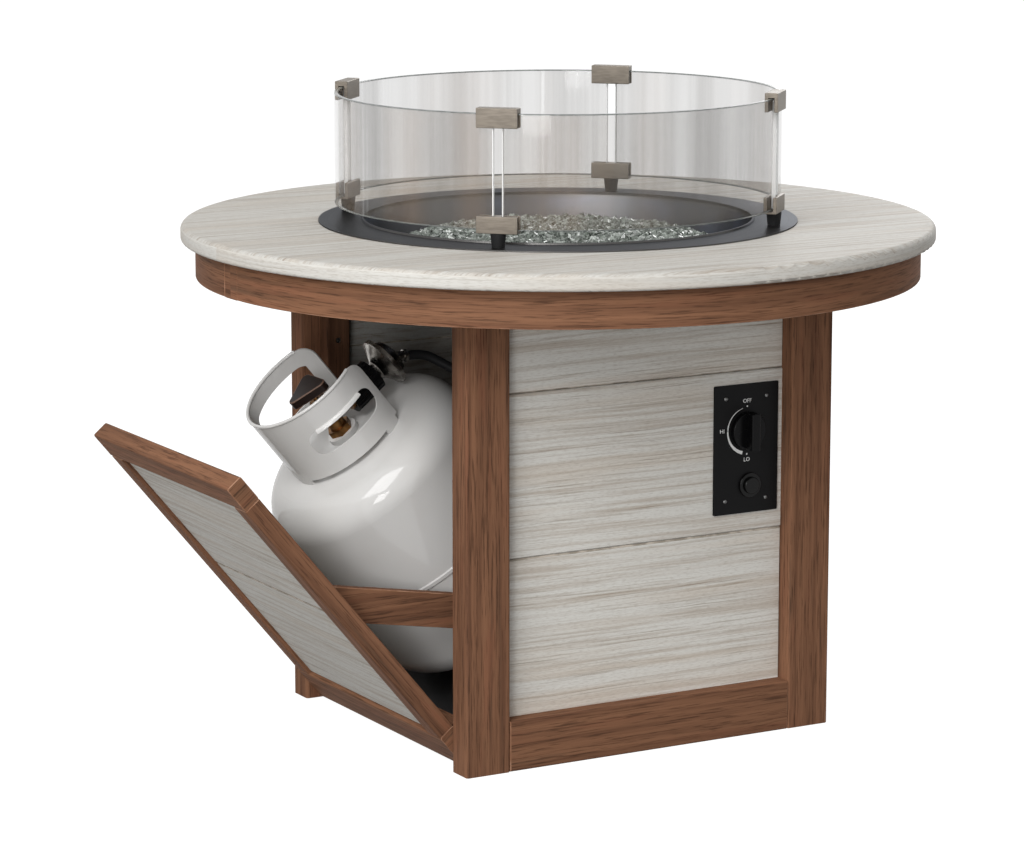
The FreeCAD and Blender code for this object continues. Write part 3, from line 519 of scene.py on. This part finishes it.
guardGlass = {
    "cool": tone(106, 101, 94),
    "warm": tone(132, 115, 99),
    # white of the streaks, a painted reflection on the panes
    "streak": tone(236, 236, 234),
    "rim": tone(88, 90, 88),
    "headRim": (0.9368, 0.9388),  # heights between which a pane's face turns to its rim
    "footRim": (0.7756, 0.7776),
    "clear": 0.14,  # share of the light that is held back between the bands, in them and at the rims
    "banded": 0.15,
    "rimmed": 0.42,
    "roughness": 0.03,
    "bending": 1.5,
}


def glassFinish(setup):  # clear panes that hold a little grey, in faint upright bands, greyer at the rims, with white upright streaks that are a painted reflection
    finish = Finish("guardGlass")
    x, y, z = finish.place()
    turn = turnRound(x, y)
    band = finish.noise(finish.vector(turn * 5.5, z * 0.25, 0.0), detail=4.0, rough=0.65)
    streak = finish.noise(finish.vector(turn * 24.0 + 9.0, z * 0.4, 0.0), detail=2.0)
    tint = finish.noise(finish.vector(turn * 3.1 + 4.0, 0.0, z * 0.2), detail=2.0)
    rim = z.over(*setup["headRim"]) + (1.0 - z.over(*setup["footRim"])) * 0.35
    colour = finish.mix(tint.over(0.4, 0.65), setup["cool"], setup["warm"])
    # painted reflection: white upright streaks laid over the panes
    colour = finish.coat(colour, setup["streak"], streak, 0.66, 0.74, 0.8)
    colour = finish.mix(rim, colour, setup["rim"])
    alpha = setup["clear"] + band.over(0.35, 0.7) * setup["banded"] + rim * setup["rimmed"]
    values = {"Base Color": colour, "Roughness": setup["roughness"], "Alpha": alpha}
    return surface(finish, {**values, "IOR": setup["bending"]})


def glassEdgeFinish(name, dark, light, cover):
    finish = Finish(name)
    x, y, z = finish.place()
    turn = turnRound(x, y)
    band = finish.noise(finish.vector(turn * 30.0, z * 4.0, 0.0), detail=2.0)
    colour = finish.mix(band.over(0.35, 0.7), dark, light)
    values = {"Base Color": colour, "Roughness": 0.12, "Alpha": cover + band * 0.1}
    return surface(finish, {**values, "IOR": guardGlass["bending"]})


fireGlassTones = {
    "low": tone(104, 111, 104),
    "high": tone(164, 171, 164),
    # dark: painted shade laid on some facets; the white below it is a painted glint
    "dark": tone(60, 65, 60),
    "paintedGlint": tone(226, 230, 226),
}


def fireGlassFinish(setup):  # grey-green facets, some with painted shade, a few with a painted white glint
    finish = Finish("fireGlass")
    x, y, z = finish.place()
    spot = finish.vector(x * 30.0, y * 30.0, z * 30.0)
    cell = finish.node("ShaderNodeTexVoronoi", {"feature": "F1"}, {"Vector": spot}, output="Color")
    pick = finish.node("ShaderNodeSeparateColor", None, {0: cell})
    nx, ny, nz = finish.split(finish.node("ShaderNodeNewGeometry", output="True Normal"))
    facet = finish.noise(finish.vector(nx * 2.2 + x * 60.0, ny * 2.2 + y * 60.0, nz * 2.2), 1.0, 2.0)
    paintedGlint = facet.over(0.64, 0.70)
    colour = finish.mix(pick.over(0.2, 0.9), setup["low"], setup["high"])
    # painted shade on facets picked by their normal, then a painted white glint on others
    colour = finish.mix(facet.math("LESS_THAN", facet, 0.42) * 0.7, colour, setup["dark"])
    colour = finish.mix(paintedGlint, colour, setup["paintedGlint"])
    values = {"Base Color": colour, "Metallic": paintedGlint * 0.6 + 0.05, "Roughness": 0.14 + pick * 0.12}
    return surface(finish, {**values, "IOR": 1.6})


finishes.update(
    {
        "pan": panFinish(panSteel),
        "glass": glassFinish(guardGlass),
        "glassRim": glassEdgeFinish("guardGlassRim", tone(96, 102, 100), tone(128, 132, 130), 0.80),
        # painted highlight: the panes' polished ends are coloured near white
        "glassEndHighlight": glassEdgeFinish("guardGlassEndHighlight", tone(232, 234, 233), tone(248, 248, 247), 0.88),
        "fireGlass": fireGlassFinish(fireGlassTones),
        "clip": metalFinish(
            "clipMetal", tone(124, 116, 106), tone(108, 101, 92), 0.46, (60.0, 60.0, 420.0), 0.7
        ),
        "darkScrew": metalFinish("darkScrew", tone(112, 112, 111), tone(70, 70, 70), 0.36, (500.0,) * 3),
        "screw": metalFinish("screwSteel", tone(170, 170, 168), tone(140, 140, 138), 0.28, (500.0,) * 3),
        "rubber": paintFinish("blackRubber", tone(24, 24, 25), tone(34, 34, 35), 0.62, 0.3, gloss=0.2),
        "plate": paintFinish("blackPaint", tone(11, 11, 12), tone(17, 16, 16), 0.50, 0.25, gloss=0.10),
        "tray": paintFinish("trayPaint", tone(24, 24, 25), tone(32, 31, 31), 0.50, 0.25),
        "plastic": paintFinish("blackPlastic", tone(9, 9, 10), tone(15, 15, 16), 0.26, 0.12, gloss=0.10),
        "button": paintFinish("buttonPlastic", tone(9, 9, 9), tone(16, 15, 15), 0.18, 0.06, gloss=0.16),
        "tank": paintFinish("tankPaint", tone(199, 198, 196), tone(193, 191, 188), 0.54, 0.05, 0.60, 0.20),
        "brass": metalFinish("valveBrass", tone(150, 110, 66), tone(104, 74, 44), 0.36, (90.0,) * 3),
        "zinc": metalFinish("regulatorZinc", tone(168, 164, 158), tone(84, 79, 74), 0.26, (60.0,) * 3),
        "pipe": metalFinish("pipeSteel", tone(150, 150, 148), tone(112, 112, 110), 0.38, (200.0,) * 3),
        # painted highlight on the handwheel's broken edges
        "wheelEdgeHighlight": paintFinish("wheelEdgeHighlight", tone(104, 82, 70), tone(78, 58, 49), 0.40, 0.10, gloss=0.2),
        "wheel": paintFinish("wheelPlastic", tone(27, 17, 14), tone(38, 26, 21), 0.34, 0.10, gloss=0.16),
    }
)
print("metal, paint and glass finishes ready")


# Every node's finish and material slot
nodeFinishes = {
    "brownX": (
        "frame_wood",
        ["rail_low_front", "rail_low_back", "rail_high_front", "rail_high_back", "tray_braces"],
    ),
    "brownY": ("frame_wood", ["rail_low_far", "rail_high_far", "rail_high_door"]),
    "brownZ": ("frame_wood", ["post_door_front", "post_door_back", "post_far_front", "post_far_back"]),
    "brownStopPaintedShade": ("frame_wood", ["door_stops"]),
    "brownRing": ("frame_wood", ["apron_front", "apron_back", "apron_joint_blocks"]),
    "brownDoorY": ("frame_wood", ["door_rail_high", "door_rail_low", "tray_cleat"]),
    "brownDoorUp": ("frame_wood", ["door_stile_back", "door_stile_front"]),
    "greyX": ("panel_wood", ["board_front_high", "board_front_low", "board_front_middle"]),
    "greyBack": ("panel_wood", ["boards_back"]),
    "greyY": ("panel_wood", ["boards_far"]),
    "greyDoor": ("panel_wood", ["door_board_high", "door_board_low"]),
    "greyTopPaintedShade": ("top_wood", ["table_top"]),
    "pan": ("pan_steel", ["burner_pan"]),
    "fireGlass": ("fire_glass", ["fire_glass"]),
    "glass": ("guard_glass", ["guard_pane_1", "guard_pane_2", "guard_pane_3", "guard_pane_4"]),
    "clip": ("clip_metal", ["guard_clips_high", "guard_clips_low"]),
    "screw": ("screw_steel", ["door_stop_screws", "door_pins"]),
    "darkScrew": ("screw_steel", ["control_plate_screws"]),
    "rubber": ("black_rubber", ["guard_feet", "gas_hose"]),
    "plate": ("black_paint", ["control_plate"]),
    "tray": ("black_paint", ["tank_tray"]),
    "plastic": ("black_plastic", ["control_knob", "coupling_nut"]),
    "button": ("black_plastic", ["igniter", "igniter_button"]),
    "wheel": ("black_plastic", ["tank_handwheel"]),
    "tank": ("tank_paint", ["tank_shell", "tank_collar", "tank_foot_ring"]),
    "brass": ("valve_brass", ["tank_valve", "gas_valve"]),
    "zinc": ("regulator_zinc", ["regulator"]),
    "pipe": ("pipe_steel", ["burner", "burner_feed_pipe"]),
}


def dressNodes(setup):
    for finishName, (slotName, nodeNames) in setup.items():
        for nodeName in nodeNames:
            node = nodes[nodeName]
            if not node.data.materials:
                node.data.materials.append(None)
            for slot in node.material_slots:
                slot.material = finishes[finishName]


dressNodes(nodeFinishes)
print("nodes dressed")


# Modelling helpers
mergeWithin = 0.00002  # corners of loose triangles that are closer than this are one
flatWithin = math.radians(0.5)
smoothWithin = math.radians(40)


def pickOnly(piece):
    bpy.ops.object.select_all(action="DESELECT")
    piece.select_set(True)
    bpy.context.view_layer.objects.active = piece


def settle(piece):  # place, turn and size go into the mesh
    pickOnly(piece)
    bpy.ops.object.transform_apply(location=True, rotation=True, scale=True)


def cleanCopy(nodeName, pieceName):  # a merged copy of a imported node, ready to be worked on
    piece = bpy.data.objects.new(pieceName, nodes[nodeName].data.copy())
    bpy.context.scene.collection.objects.link(piece)
    pickOnly(piece)
    if piece.data.has_custom_normals:
        bpy.ops.mesh.customdata_custom_splitnormals_clear()
    bpy.ops.object.mode_set(mode="EDIT")
    bpy.ops.mesh.select_all(action="SELECT")
    bpy.ops.mesh.remove_doubles(threshold=mergeWithin)
    bpy.ops.mesh.dissolve_limited(angle_limit=flatWithin)
    bpy.ops.object.mode_set(mode="OBJECT")
    return piece


def linkMesh(name, corners, faces):
    mesh = bpy.data.meshes.new(name)
    mesh.from_pydata(corners, [], faces)
    piece = bpy.data.objects.new(name, mesh)
    bpy.context.scene.collection.objects.link(piece)
    return piece


def thicken(piece, depth):
    pickOnly(piece)
    wall = piece.modifiers.new("wall", "SOLIDIFY")
    wall.thickness = depth
    wall.offset = 0
    bpy.ops.object.modifier_apply(modifier="wall")


def roundEdges(piece, width, segments=2, angle=30, edgeSlot=-1):  # edgeSlot: material of the new faces
    pickOnly(piece)
    bpy.ops.object.shade_smooth()
    bevel = piece.modifiers.new("bevel", "BEVEL")
    bevel.width = width
    bevel.segments = segments
    bevel.material = edgeSlot
    bevel.limit_method = "ANGLE"
    bevel.angle_limit = math.radians(angle)
    bevel.harden_normals = True
    bpy.ops.object.modifier_apply(modifier="bevel")


def clad(piece, body, slotName, *finishNames):
    piece.data.materials.clear()
    for finishName in finishNames:
        piece.data.materials.append(finishes[finishName])
    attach(piece, body)
    return piece


# Pieces that move with the door are laid out with it shut, then leaned with it
doorPivot = Vector((-0.2935, 0.0, 0.033))


def leaned(point):
    turn = Matrix.Rotation(-doorLean, 3, "Y")
    return doorPivot + turn @ (Vector(point) - doorPivot)


# Fire glass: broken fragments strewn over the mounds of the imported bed, each with a handful of facets
fireGlass = {
    "kinds": 8,
    "count": 4600,
    "seed": 4,
    "blockSize": 1.7,
    "cuts": 3,
    "cutDepth": (0.3, 0.7),
    "cutFlat": 8.0,
    "size": (0.0030, 0.0058),
    "length": (0.9, 1.5),
    "thickness": (0.6, 1.0),
    "reach": 0.243,
    "lift": (-0.0012, 0.0026),
    "above": 0.76,
}


def makeFragment(setup, chance, number):  # a block knocked into a splinter by a few random cuts
    bpy.ops.object.select_all(action="DESELECT")
    bpy.ops.mesh.primitive_cube_add(size=setup["blockSize"], location=(0, 0, 0))
    fragment = bpy.context.object
    fragment.name = "fragment" + str(number)
    bpy.ops.object.mode_set(mode="EDIT")
    for _ in range(setup["cuts"]):
        way = Vector((chance.uniform(-1, 1), chance.uniform(-1, 1), chance.uniform(-1, 1))).normalized()
        bpy.ops.mesh.select_all(action="SELECT")
        depth = chance.uniform(*setup["cutDepth"])
        bpy.ops.mesh.bisect(plane_co=way * depth, plane_no=way, use_fill=True, clear_outer=True)
    bpy.ops.mesh.select_all(action="SELECT")
    bpy.ops.mesh.dissolve_limited(angle_limit=math.radians(setup["cutFlat"]))
    bpy.ops.object.mode_set(mode="OBJECT")
    return fragment


def makeFireGlass(setup):
    chance = random.Random(setup["seed"])
    kinds = [makeFragment(setup, chance, i) for i in range(setup["kinds"])]
    shapes = []
    for kind in kinds:
        points = [corner.co.copy() for corner in kind.data.vertices]
        shapes.append((points, [tuple(side.vertices) for side in kind.data.polygons]))
        bpy.data.objects.remove(kind)
    bed = cleanCopy("fire_glass", "fireGlassBed")
    ground = BVHTree.FromPolygons([v.co for v in bed.data.vertices], [f.vertices for f in bed.data.polygons])
    corners = []
    faces = []
    for i in range(setup["count"]):
        radius = setup["reach"] * math.sqrt(chance.random())
        angle = chance.uniform(0, math.tau)
        above = Vector((radius * math.cos(angle), radius * math.sin(angle), setup["above"]))
        landing = ground.ray_cast(above, Vector((0, 0, -1)))[0]
        middle = landing + Vector((0, 0, chance.uniform(*setup["lift"])))
        turn = Matrix.Rotation(chance.uniform(0, math.tau), 3, "X")
        turn = turn @ Matrix.Rotation(chance.uniform(0, math.tau), 3, "Z")
        size = chance.uniform(*setup["size"])
        length = size * chance.uniform(*setup["length"])
        stretch = Vector((length, size, size * chance.uniform(*setup["thickness"])))
        points, sides = shapes[i % len(shapes)]
        first = len(corners)
        for point in points:
            corners.append(middle + turn @ (point * stretch))
        faces += [tuple(first + j for j in side) for side in sides]
    fragments = linkMesh("fireGlassFragments", corners, faces)
    for piece in (fragments, bed):
        clad(piece, "table", "fire_glass", "fireGlass")
    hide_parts("fire_glass")


makeFireGlass(fireGlass)
print("fire glass made")


# Wind guard: the panes' rims are greyer than their faces, and their polished ends carry a painted highlight
guardPanes = {
    "panes": 4,
    "polish": 0.0016,
    "polishAngle": 50,
    "square": 0.7,
    "slanted": 0.3,
}


def makePanes(setup):
    for number in range(1, setup["panes"] + 1):
        nodeName = "guard_pane_" + str(number)
        pane = cleanCopy(nodeName, "guardPane" + str(number))
        clad(pane, "wind_guard", "guard_glass", "glass", "glassRim", "glassEndHighlight")
        for face in pane.data.polygons:
            outward = Vector((face.center.x, face.center.y, 0)).normalized()
            if abs(face.normal.z) > setup["square"]:
                face.material_index = 1
            elif abs(face.normal.dot(outward)) < setup["square"]:
                face.material_index = 2
        roundEdges(pane, setup["polish"], angle=setup["polishAngle"], edgeSlot=2)
        for face in pane.data.polygons:
            if face.material_index == 2 and abs(face.normal.z) > setup["slanted"]:
                face.material_index = 1
        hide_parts(nodeName)


makePanes(guardPanes)

# Boards, guard clips and other hard pieces get their edges broken; the broken edges carry a painted
# highlight on the brown boards and the handwheel, and painted shade on the grey boards
softenedPieces = {  # node, body, material slot, finish, width of the edge, finish of the edge (on the handwheel, a painted highlight)
    "guardClipsHigh": ("guard_clips_high", "wind_guard", "clip_metal", "clip", 0.0007, ""),
    "guardClipsLow": ("guard_clips_low", "wind_guard", "clip_metal", "clip", 0.0007, ""),
    "controlPlate": ("control_plate", "table", "black_paint", "plate", 0.0006, ""),
    "handwheel": ("tank_handwheel", "tank_wheel", "black_plastic", "wheel", 0.0018, "wheelEdgeHighlight"),
    "tankCollar": ("tank_collar", "door", "tank_paint", "tank", 0.0007, ""),
    "couplingNut": ("coupling_nut", "gas_nut", "black_plastic", "plastic", 0.0009, ""),
    "controlKnob": ("control_knob", "knob", "black_plastic", "plastic", 0.0007, ""),
}
softenedBoards = ["brownX", "brownY", "brownZ", "brownRing", "brownDoorY", "brownDoorUp"]
softenedBoards += ["greyX", "greyBack", "greyY", "greyDoor"]
sharpBoards = ["apron_joint_blocks", "tray_cleat"]
# finish and width of the broken edges: a painted highlight on the brown boards, painted shade on the grey
# ones
boardEdges = {"brown": ("brownArris", 0.0013), "grey": ("greyArris", 0.0018)}
facingWay = 0.7
boardFaces = {  # sides with a finish of their own: end grain of the door's rails, and painted shade on the inside of the cabinet
    "brownDoorY": ("brownDoorOut", (0, 1, 0), (0, -1, 0)),
    "greyY": ("greyInside", (-1, 0, 0)),
    "greyBack": ("greyInside", (0, -1, 0)),
}


def makeSoftened(setup):
    for pieceName, (nodeName, body, slotName, finishName, width, paintedEdge) in setup.items():
        piece = clad(cleanCopy(nodeName, pieceName), body, slotName, finishName, paintedEdge or finishName)
        roundEdges(piece, width, edgeSlot=1)
        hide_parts(nodeName)


def makeBoards(boards, edges, faces):
    for finishName in boards:
        slotName, boardNames = nodeFinishes[finishName]
        paintedEdge, width = edges["grey" if finishName.startswith("grey") else "brown"]
        layers = [finishName, paintedEdge]
        ways = []
        if finishName in faces:
            layers.append(faces[finishName][0])
            ways = [Vector(way) for way in faces[finishName][1:]]
        for boardName in boardNames:
            if boardName in sharpBoards:
                continue
            body = "door" if boardName.startswith(("door", "tray")) else "table"
            board = clad(cleanCopy(boardName, boardName + "_board"), body, slotName, *layers)
            for face in board.data.polygons:
                if any(face.normal.dot(way) > facingWay for way in ways):
                    face.material_index = 2
            roundEdges(board, width, edgeSlot=1)
            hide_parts(boardName)


makeSoftened(softenedPieces)
makeBoards(softenedBoards, boardEdges, boardFaces)


# Table top: the grain runs along the rim where the top turns down
tableTop = {"rimSlope": 0.5}


def makeTop(setup):
    top = cleanCopy("table_top", "tableTop")
    clad(top, "table", "top_wood", "greyTopPaintedShade", "greyRim")
    for face in top.data.polygons:
        face.material_index = 1 if abs(face.normal.z) < setup["rimSlope"] else 0
    pickOnly(top)
    bpy.ops.object.shade_smooth_by_angle(angle=smoothWithin)
    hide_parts("table_top")


makeTop(tableTop)
print("guard, boards and small pieces made")


# Control plate marks: a tapering dial arc and plain dial words
plateMarks = {
    "face": -0.2525,
    "proud": 0.00015,
    "knob": (0.175, 0.455),
    "arcRadius": 0.0340,
    "arcStart": 104.0,
    "arcEnd": 256.0,
    "thin": 0.0007,
    "thick": 0.0052,
    "taper": 1.6,
    "steps": 40,
    "dotSides": 24,
    "dotEdge": 0.3,
    "wordBold": 0.012,
    "wordSteps": 3,
    "dots": [(0.1745, 0.4908, 0.0013), (0.1412, 0.4566, 0.0013), (0.1745, 0.4195, 0.0013)],
    "wordSize": 0.0085,
    "words": [("OFF", 0.1745, 0.4988), ("HI", 0.1315, 0.4566), ("LO", 0.1745, 0.4113)],
}


def markPaint():
    finish = Finish("markPaint")
    wear = finish.speckle(finish.place(), 900.0)
    colour = finish.coat(tone(226, 226, 224), tone(186, 186, 184), wear, 0.4, 0.8, 0.5)
    return surface(finish, {"Base Color": colour, "Roughness": 0.5 + wear * 0.1})


finishes["mark"] = markPaint()


def makeArc(setup):
    front = setup["face"] - setup["proud"] / 2
    middleX, middleZ = setup["knob"]
    corners = []
    faces = []
    for i in range(setup["steps"] + 1):
        share = i / setup["steps"]
        angle = math.radians(setup["arcStart"] + (setup["arcEnd"] - setup["arcStart"]) * share)
        width = setup["thin"] + (setup["thick"] - setup["thin"]) * share ** setup["taper"]
        for radius in (setup["arcRadius"] - width / 2, setup["arcRadius"] + width / 2):
            corners.append((middleX + radius * math.cos(angle), front, middleZ + radius * math.sin(angle)))
        if i:
            faces.append((2 * i - 2, 2 * i - 1, 2 * i + 1, 2 * i))
    arc = linkMesh("dialArc", corners, faces)
    thicken(arc, setup["proud"])
    return arc


def makeWord(setup, text, x, z):
    bpy.ops.object.select_all(action="DESELECT")
    bpy.ops.object.text_add(location=(0, 0, 0))
    word = bpy.context.object
    word.data.body = text
    word.data.size = setup["wordSize"]
    word.data.align_x = "CENTER"
    word.data.align_y = "CENTER"
    word.data.offset = setup["wordSize"] * setup["wordBold"]
    word.data.resolution_u = setup["wordSteps"]
    bpy.ops.object.convert(target="MESH")
    word = bpy.context.object
    word.name = "dialWord" + text
    word.rotation_euler = (math.radians(90), 0, 0)
    word.location = (x, setup["face"] - setup["proud"] / 2, z)
    settle(word)
    thicken(word, setup["proud"])
    return word


def makeDot(setup, x, z, radius, number):
    bpy.ops.object.select_all(action="DESELECT")
    bpy.ops.mesh.primitive_cylinder_add(
        vertices=setup["dotSides"],
        radius=radius,
        depth=setup["proud"],
        location=(x, setup["face"] - setup["proud"] / 2, z),
        rotation=(math.radians(90), 0, 0),
    )
    dot = bpy.context.object
    dot.name = "dialDot" + str(number)
    settle(dot)
    roundEdges(dot, setup["proud"] * setup["dotEdge"], 1)
    return dot


def makeMarks(setup):
    marks = [makeArc(setup)]
    marks += [makeWord(setup, *word) for word in setup["words"]]
    marks += [makeDot(setup, *dot, i) for i, dot in enumerate(setup["dots"])]
    for mark in marks:
        clad(mark, "table", "black_paint", "mark")


makeMarks(plateMarks)
print("plate marks made")


# Turned lip over the collar's near hand hole
collarLip = {
    "axis": -0.0705,
    "middle": 0.094,
    "sheet": 0.0018,
    "steps": 16,
    "profile": [(-0.0010, 0.0012), (0.0014, 0.0008), (0.0038, -0.0008), (0.0050, -0.0044)],
    "towards": -97.0,
    "spread": 25.0,
    "height": 0.476,
    "edge": 0.00045,
    "edgeAngle": 50,
}


def makeCollarLip(setup):
    across = len(setup["profile"])
    corners = []
    faces = []
    for i in range(setup["steps"] + 1):
        angle = math.radians(setup["towards"] + setup["spread"] * (2 * i / setup["steps"] - 1))
        for out, up in setup["profile"]:
            radius = setup["middle"] + out
            spot = (setup["axis"] + radius * math.cos(angle), radius * math.sin(angle), setup["height"] + up)
            corners.append(leaned(spot))
        if i:
            for first in range((i - 1) * across, i * across - 1):
                faces.append((first, first + across, first + across + 1, first + 1))
    lip = clad(linkMesh("collarLip", corners, faces), "door", "tank_paint", "tank")
    thicken(lip, setup["sheet"])
    roundEdges(lip, setup["edge"], angle=setup["edgeAngle"])


makeCollarLip(collarLip)
print("collar lip made")


# Gas hose: from the regulator's barb down to the valve behind the plate, route as in the model
gasHose = {
    "radius": 0.007,
    "barbRoot": (0.0535, 0.0, 0.434),
    "barbAngle": -36.9,
    "barbLength": 0.028,
    "firstRun": 0.027,
    "route": [
        (-0.206, -0.008, 0.553),
        (-0.180, -0.028, 0.536),
        (-0.145, -0.055, 0.514),
        (-0.103, -0.085, 0.486),
        (-0.056, -0.113, 0.454),
        (-0.009, -0.139, 0.421),
        (0.038, -0.163, 0.392),
        (0.085, -0.186, 0.371),
        (0.128, -0.204, 0.359),
        (0.160, -0.213, 0.367),
    ],
    "valvePort": (0.175, -0.2145, 0.419),
    "lastRun": 0.027,
    "length": 0.577,
    "lineSteps": 8,
    "roundSteps": 6,
}


def makeHose(setup):
    angle = math.radians(setup["barbAngle"])
    way = Vector((math.cos(angle), 0, math.sin(angle)))
    root = Vector(setup["barbRoot"])
    start = leaned(root + way * setup["barbLength"])
    second = leaned(root + way * (setup["barbLength"] + setup["firstRun"]))
    end = Vector(setup["valvePort"])
    below = end - Vector((0, 0, setup["lastRun"]))
    points = [start, second, *map(Vector, setup["route"]), below, end]
    line = bpy.data.curves.new("gasHose", "CURVE")
    line.dimensions = "3D"
    spline = line.splines.new("NURBS")
    spline.points.add(len(points) - 1)
    for spot, point in zip(spline.points, points):
        spot.co = (*point, 1.0)
    spline.order_u = 3
    spline.use_endpoint_u = True
    line.resolution_u = setup["lineSteps"]
    hose = bpy.data.objects.new("gasHose", line)
    bpy.context.scene.collection.objects.link(hose)
    trail = bpy.data.meshes.new_from_object(hose)
    line.bevel_depth = setup["radius"]
    line.bevel_resolution = setup["roundSteps"]
    line.use_fill_caps = True
    pickOnly(hose)
    bpy.ops.object.convert(target="MESH")
    hose = bpy.context.object
    bpy.ops.object.shade_smooth_by_angle(angle=smoothWithin)
    hose.data.materials.clear()
    hose.data.materials.append(finishes["rubber"])
    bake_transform(hose)
    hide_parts("gas_hose")


makeHose(gasHose)
print("gas hose made")
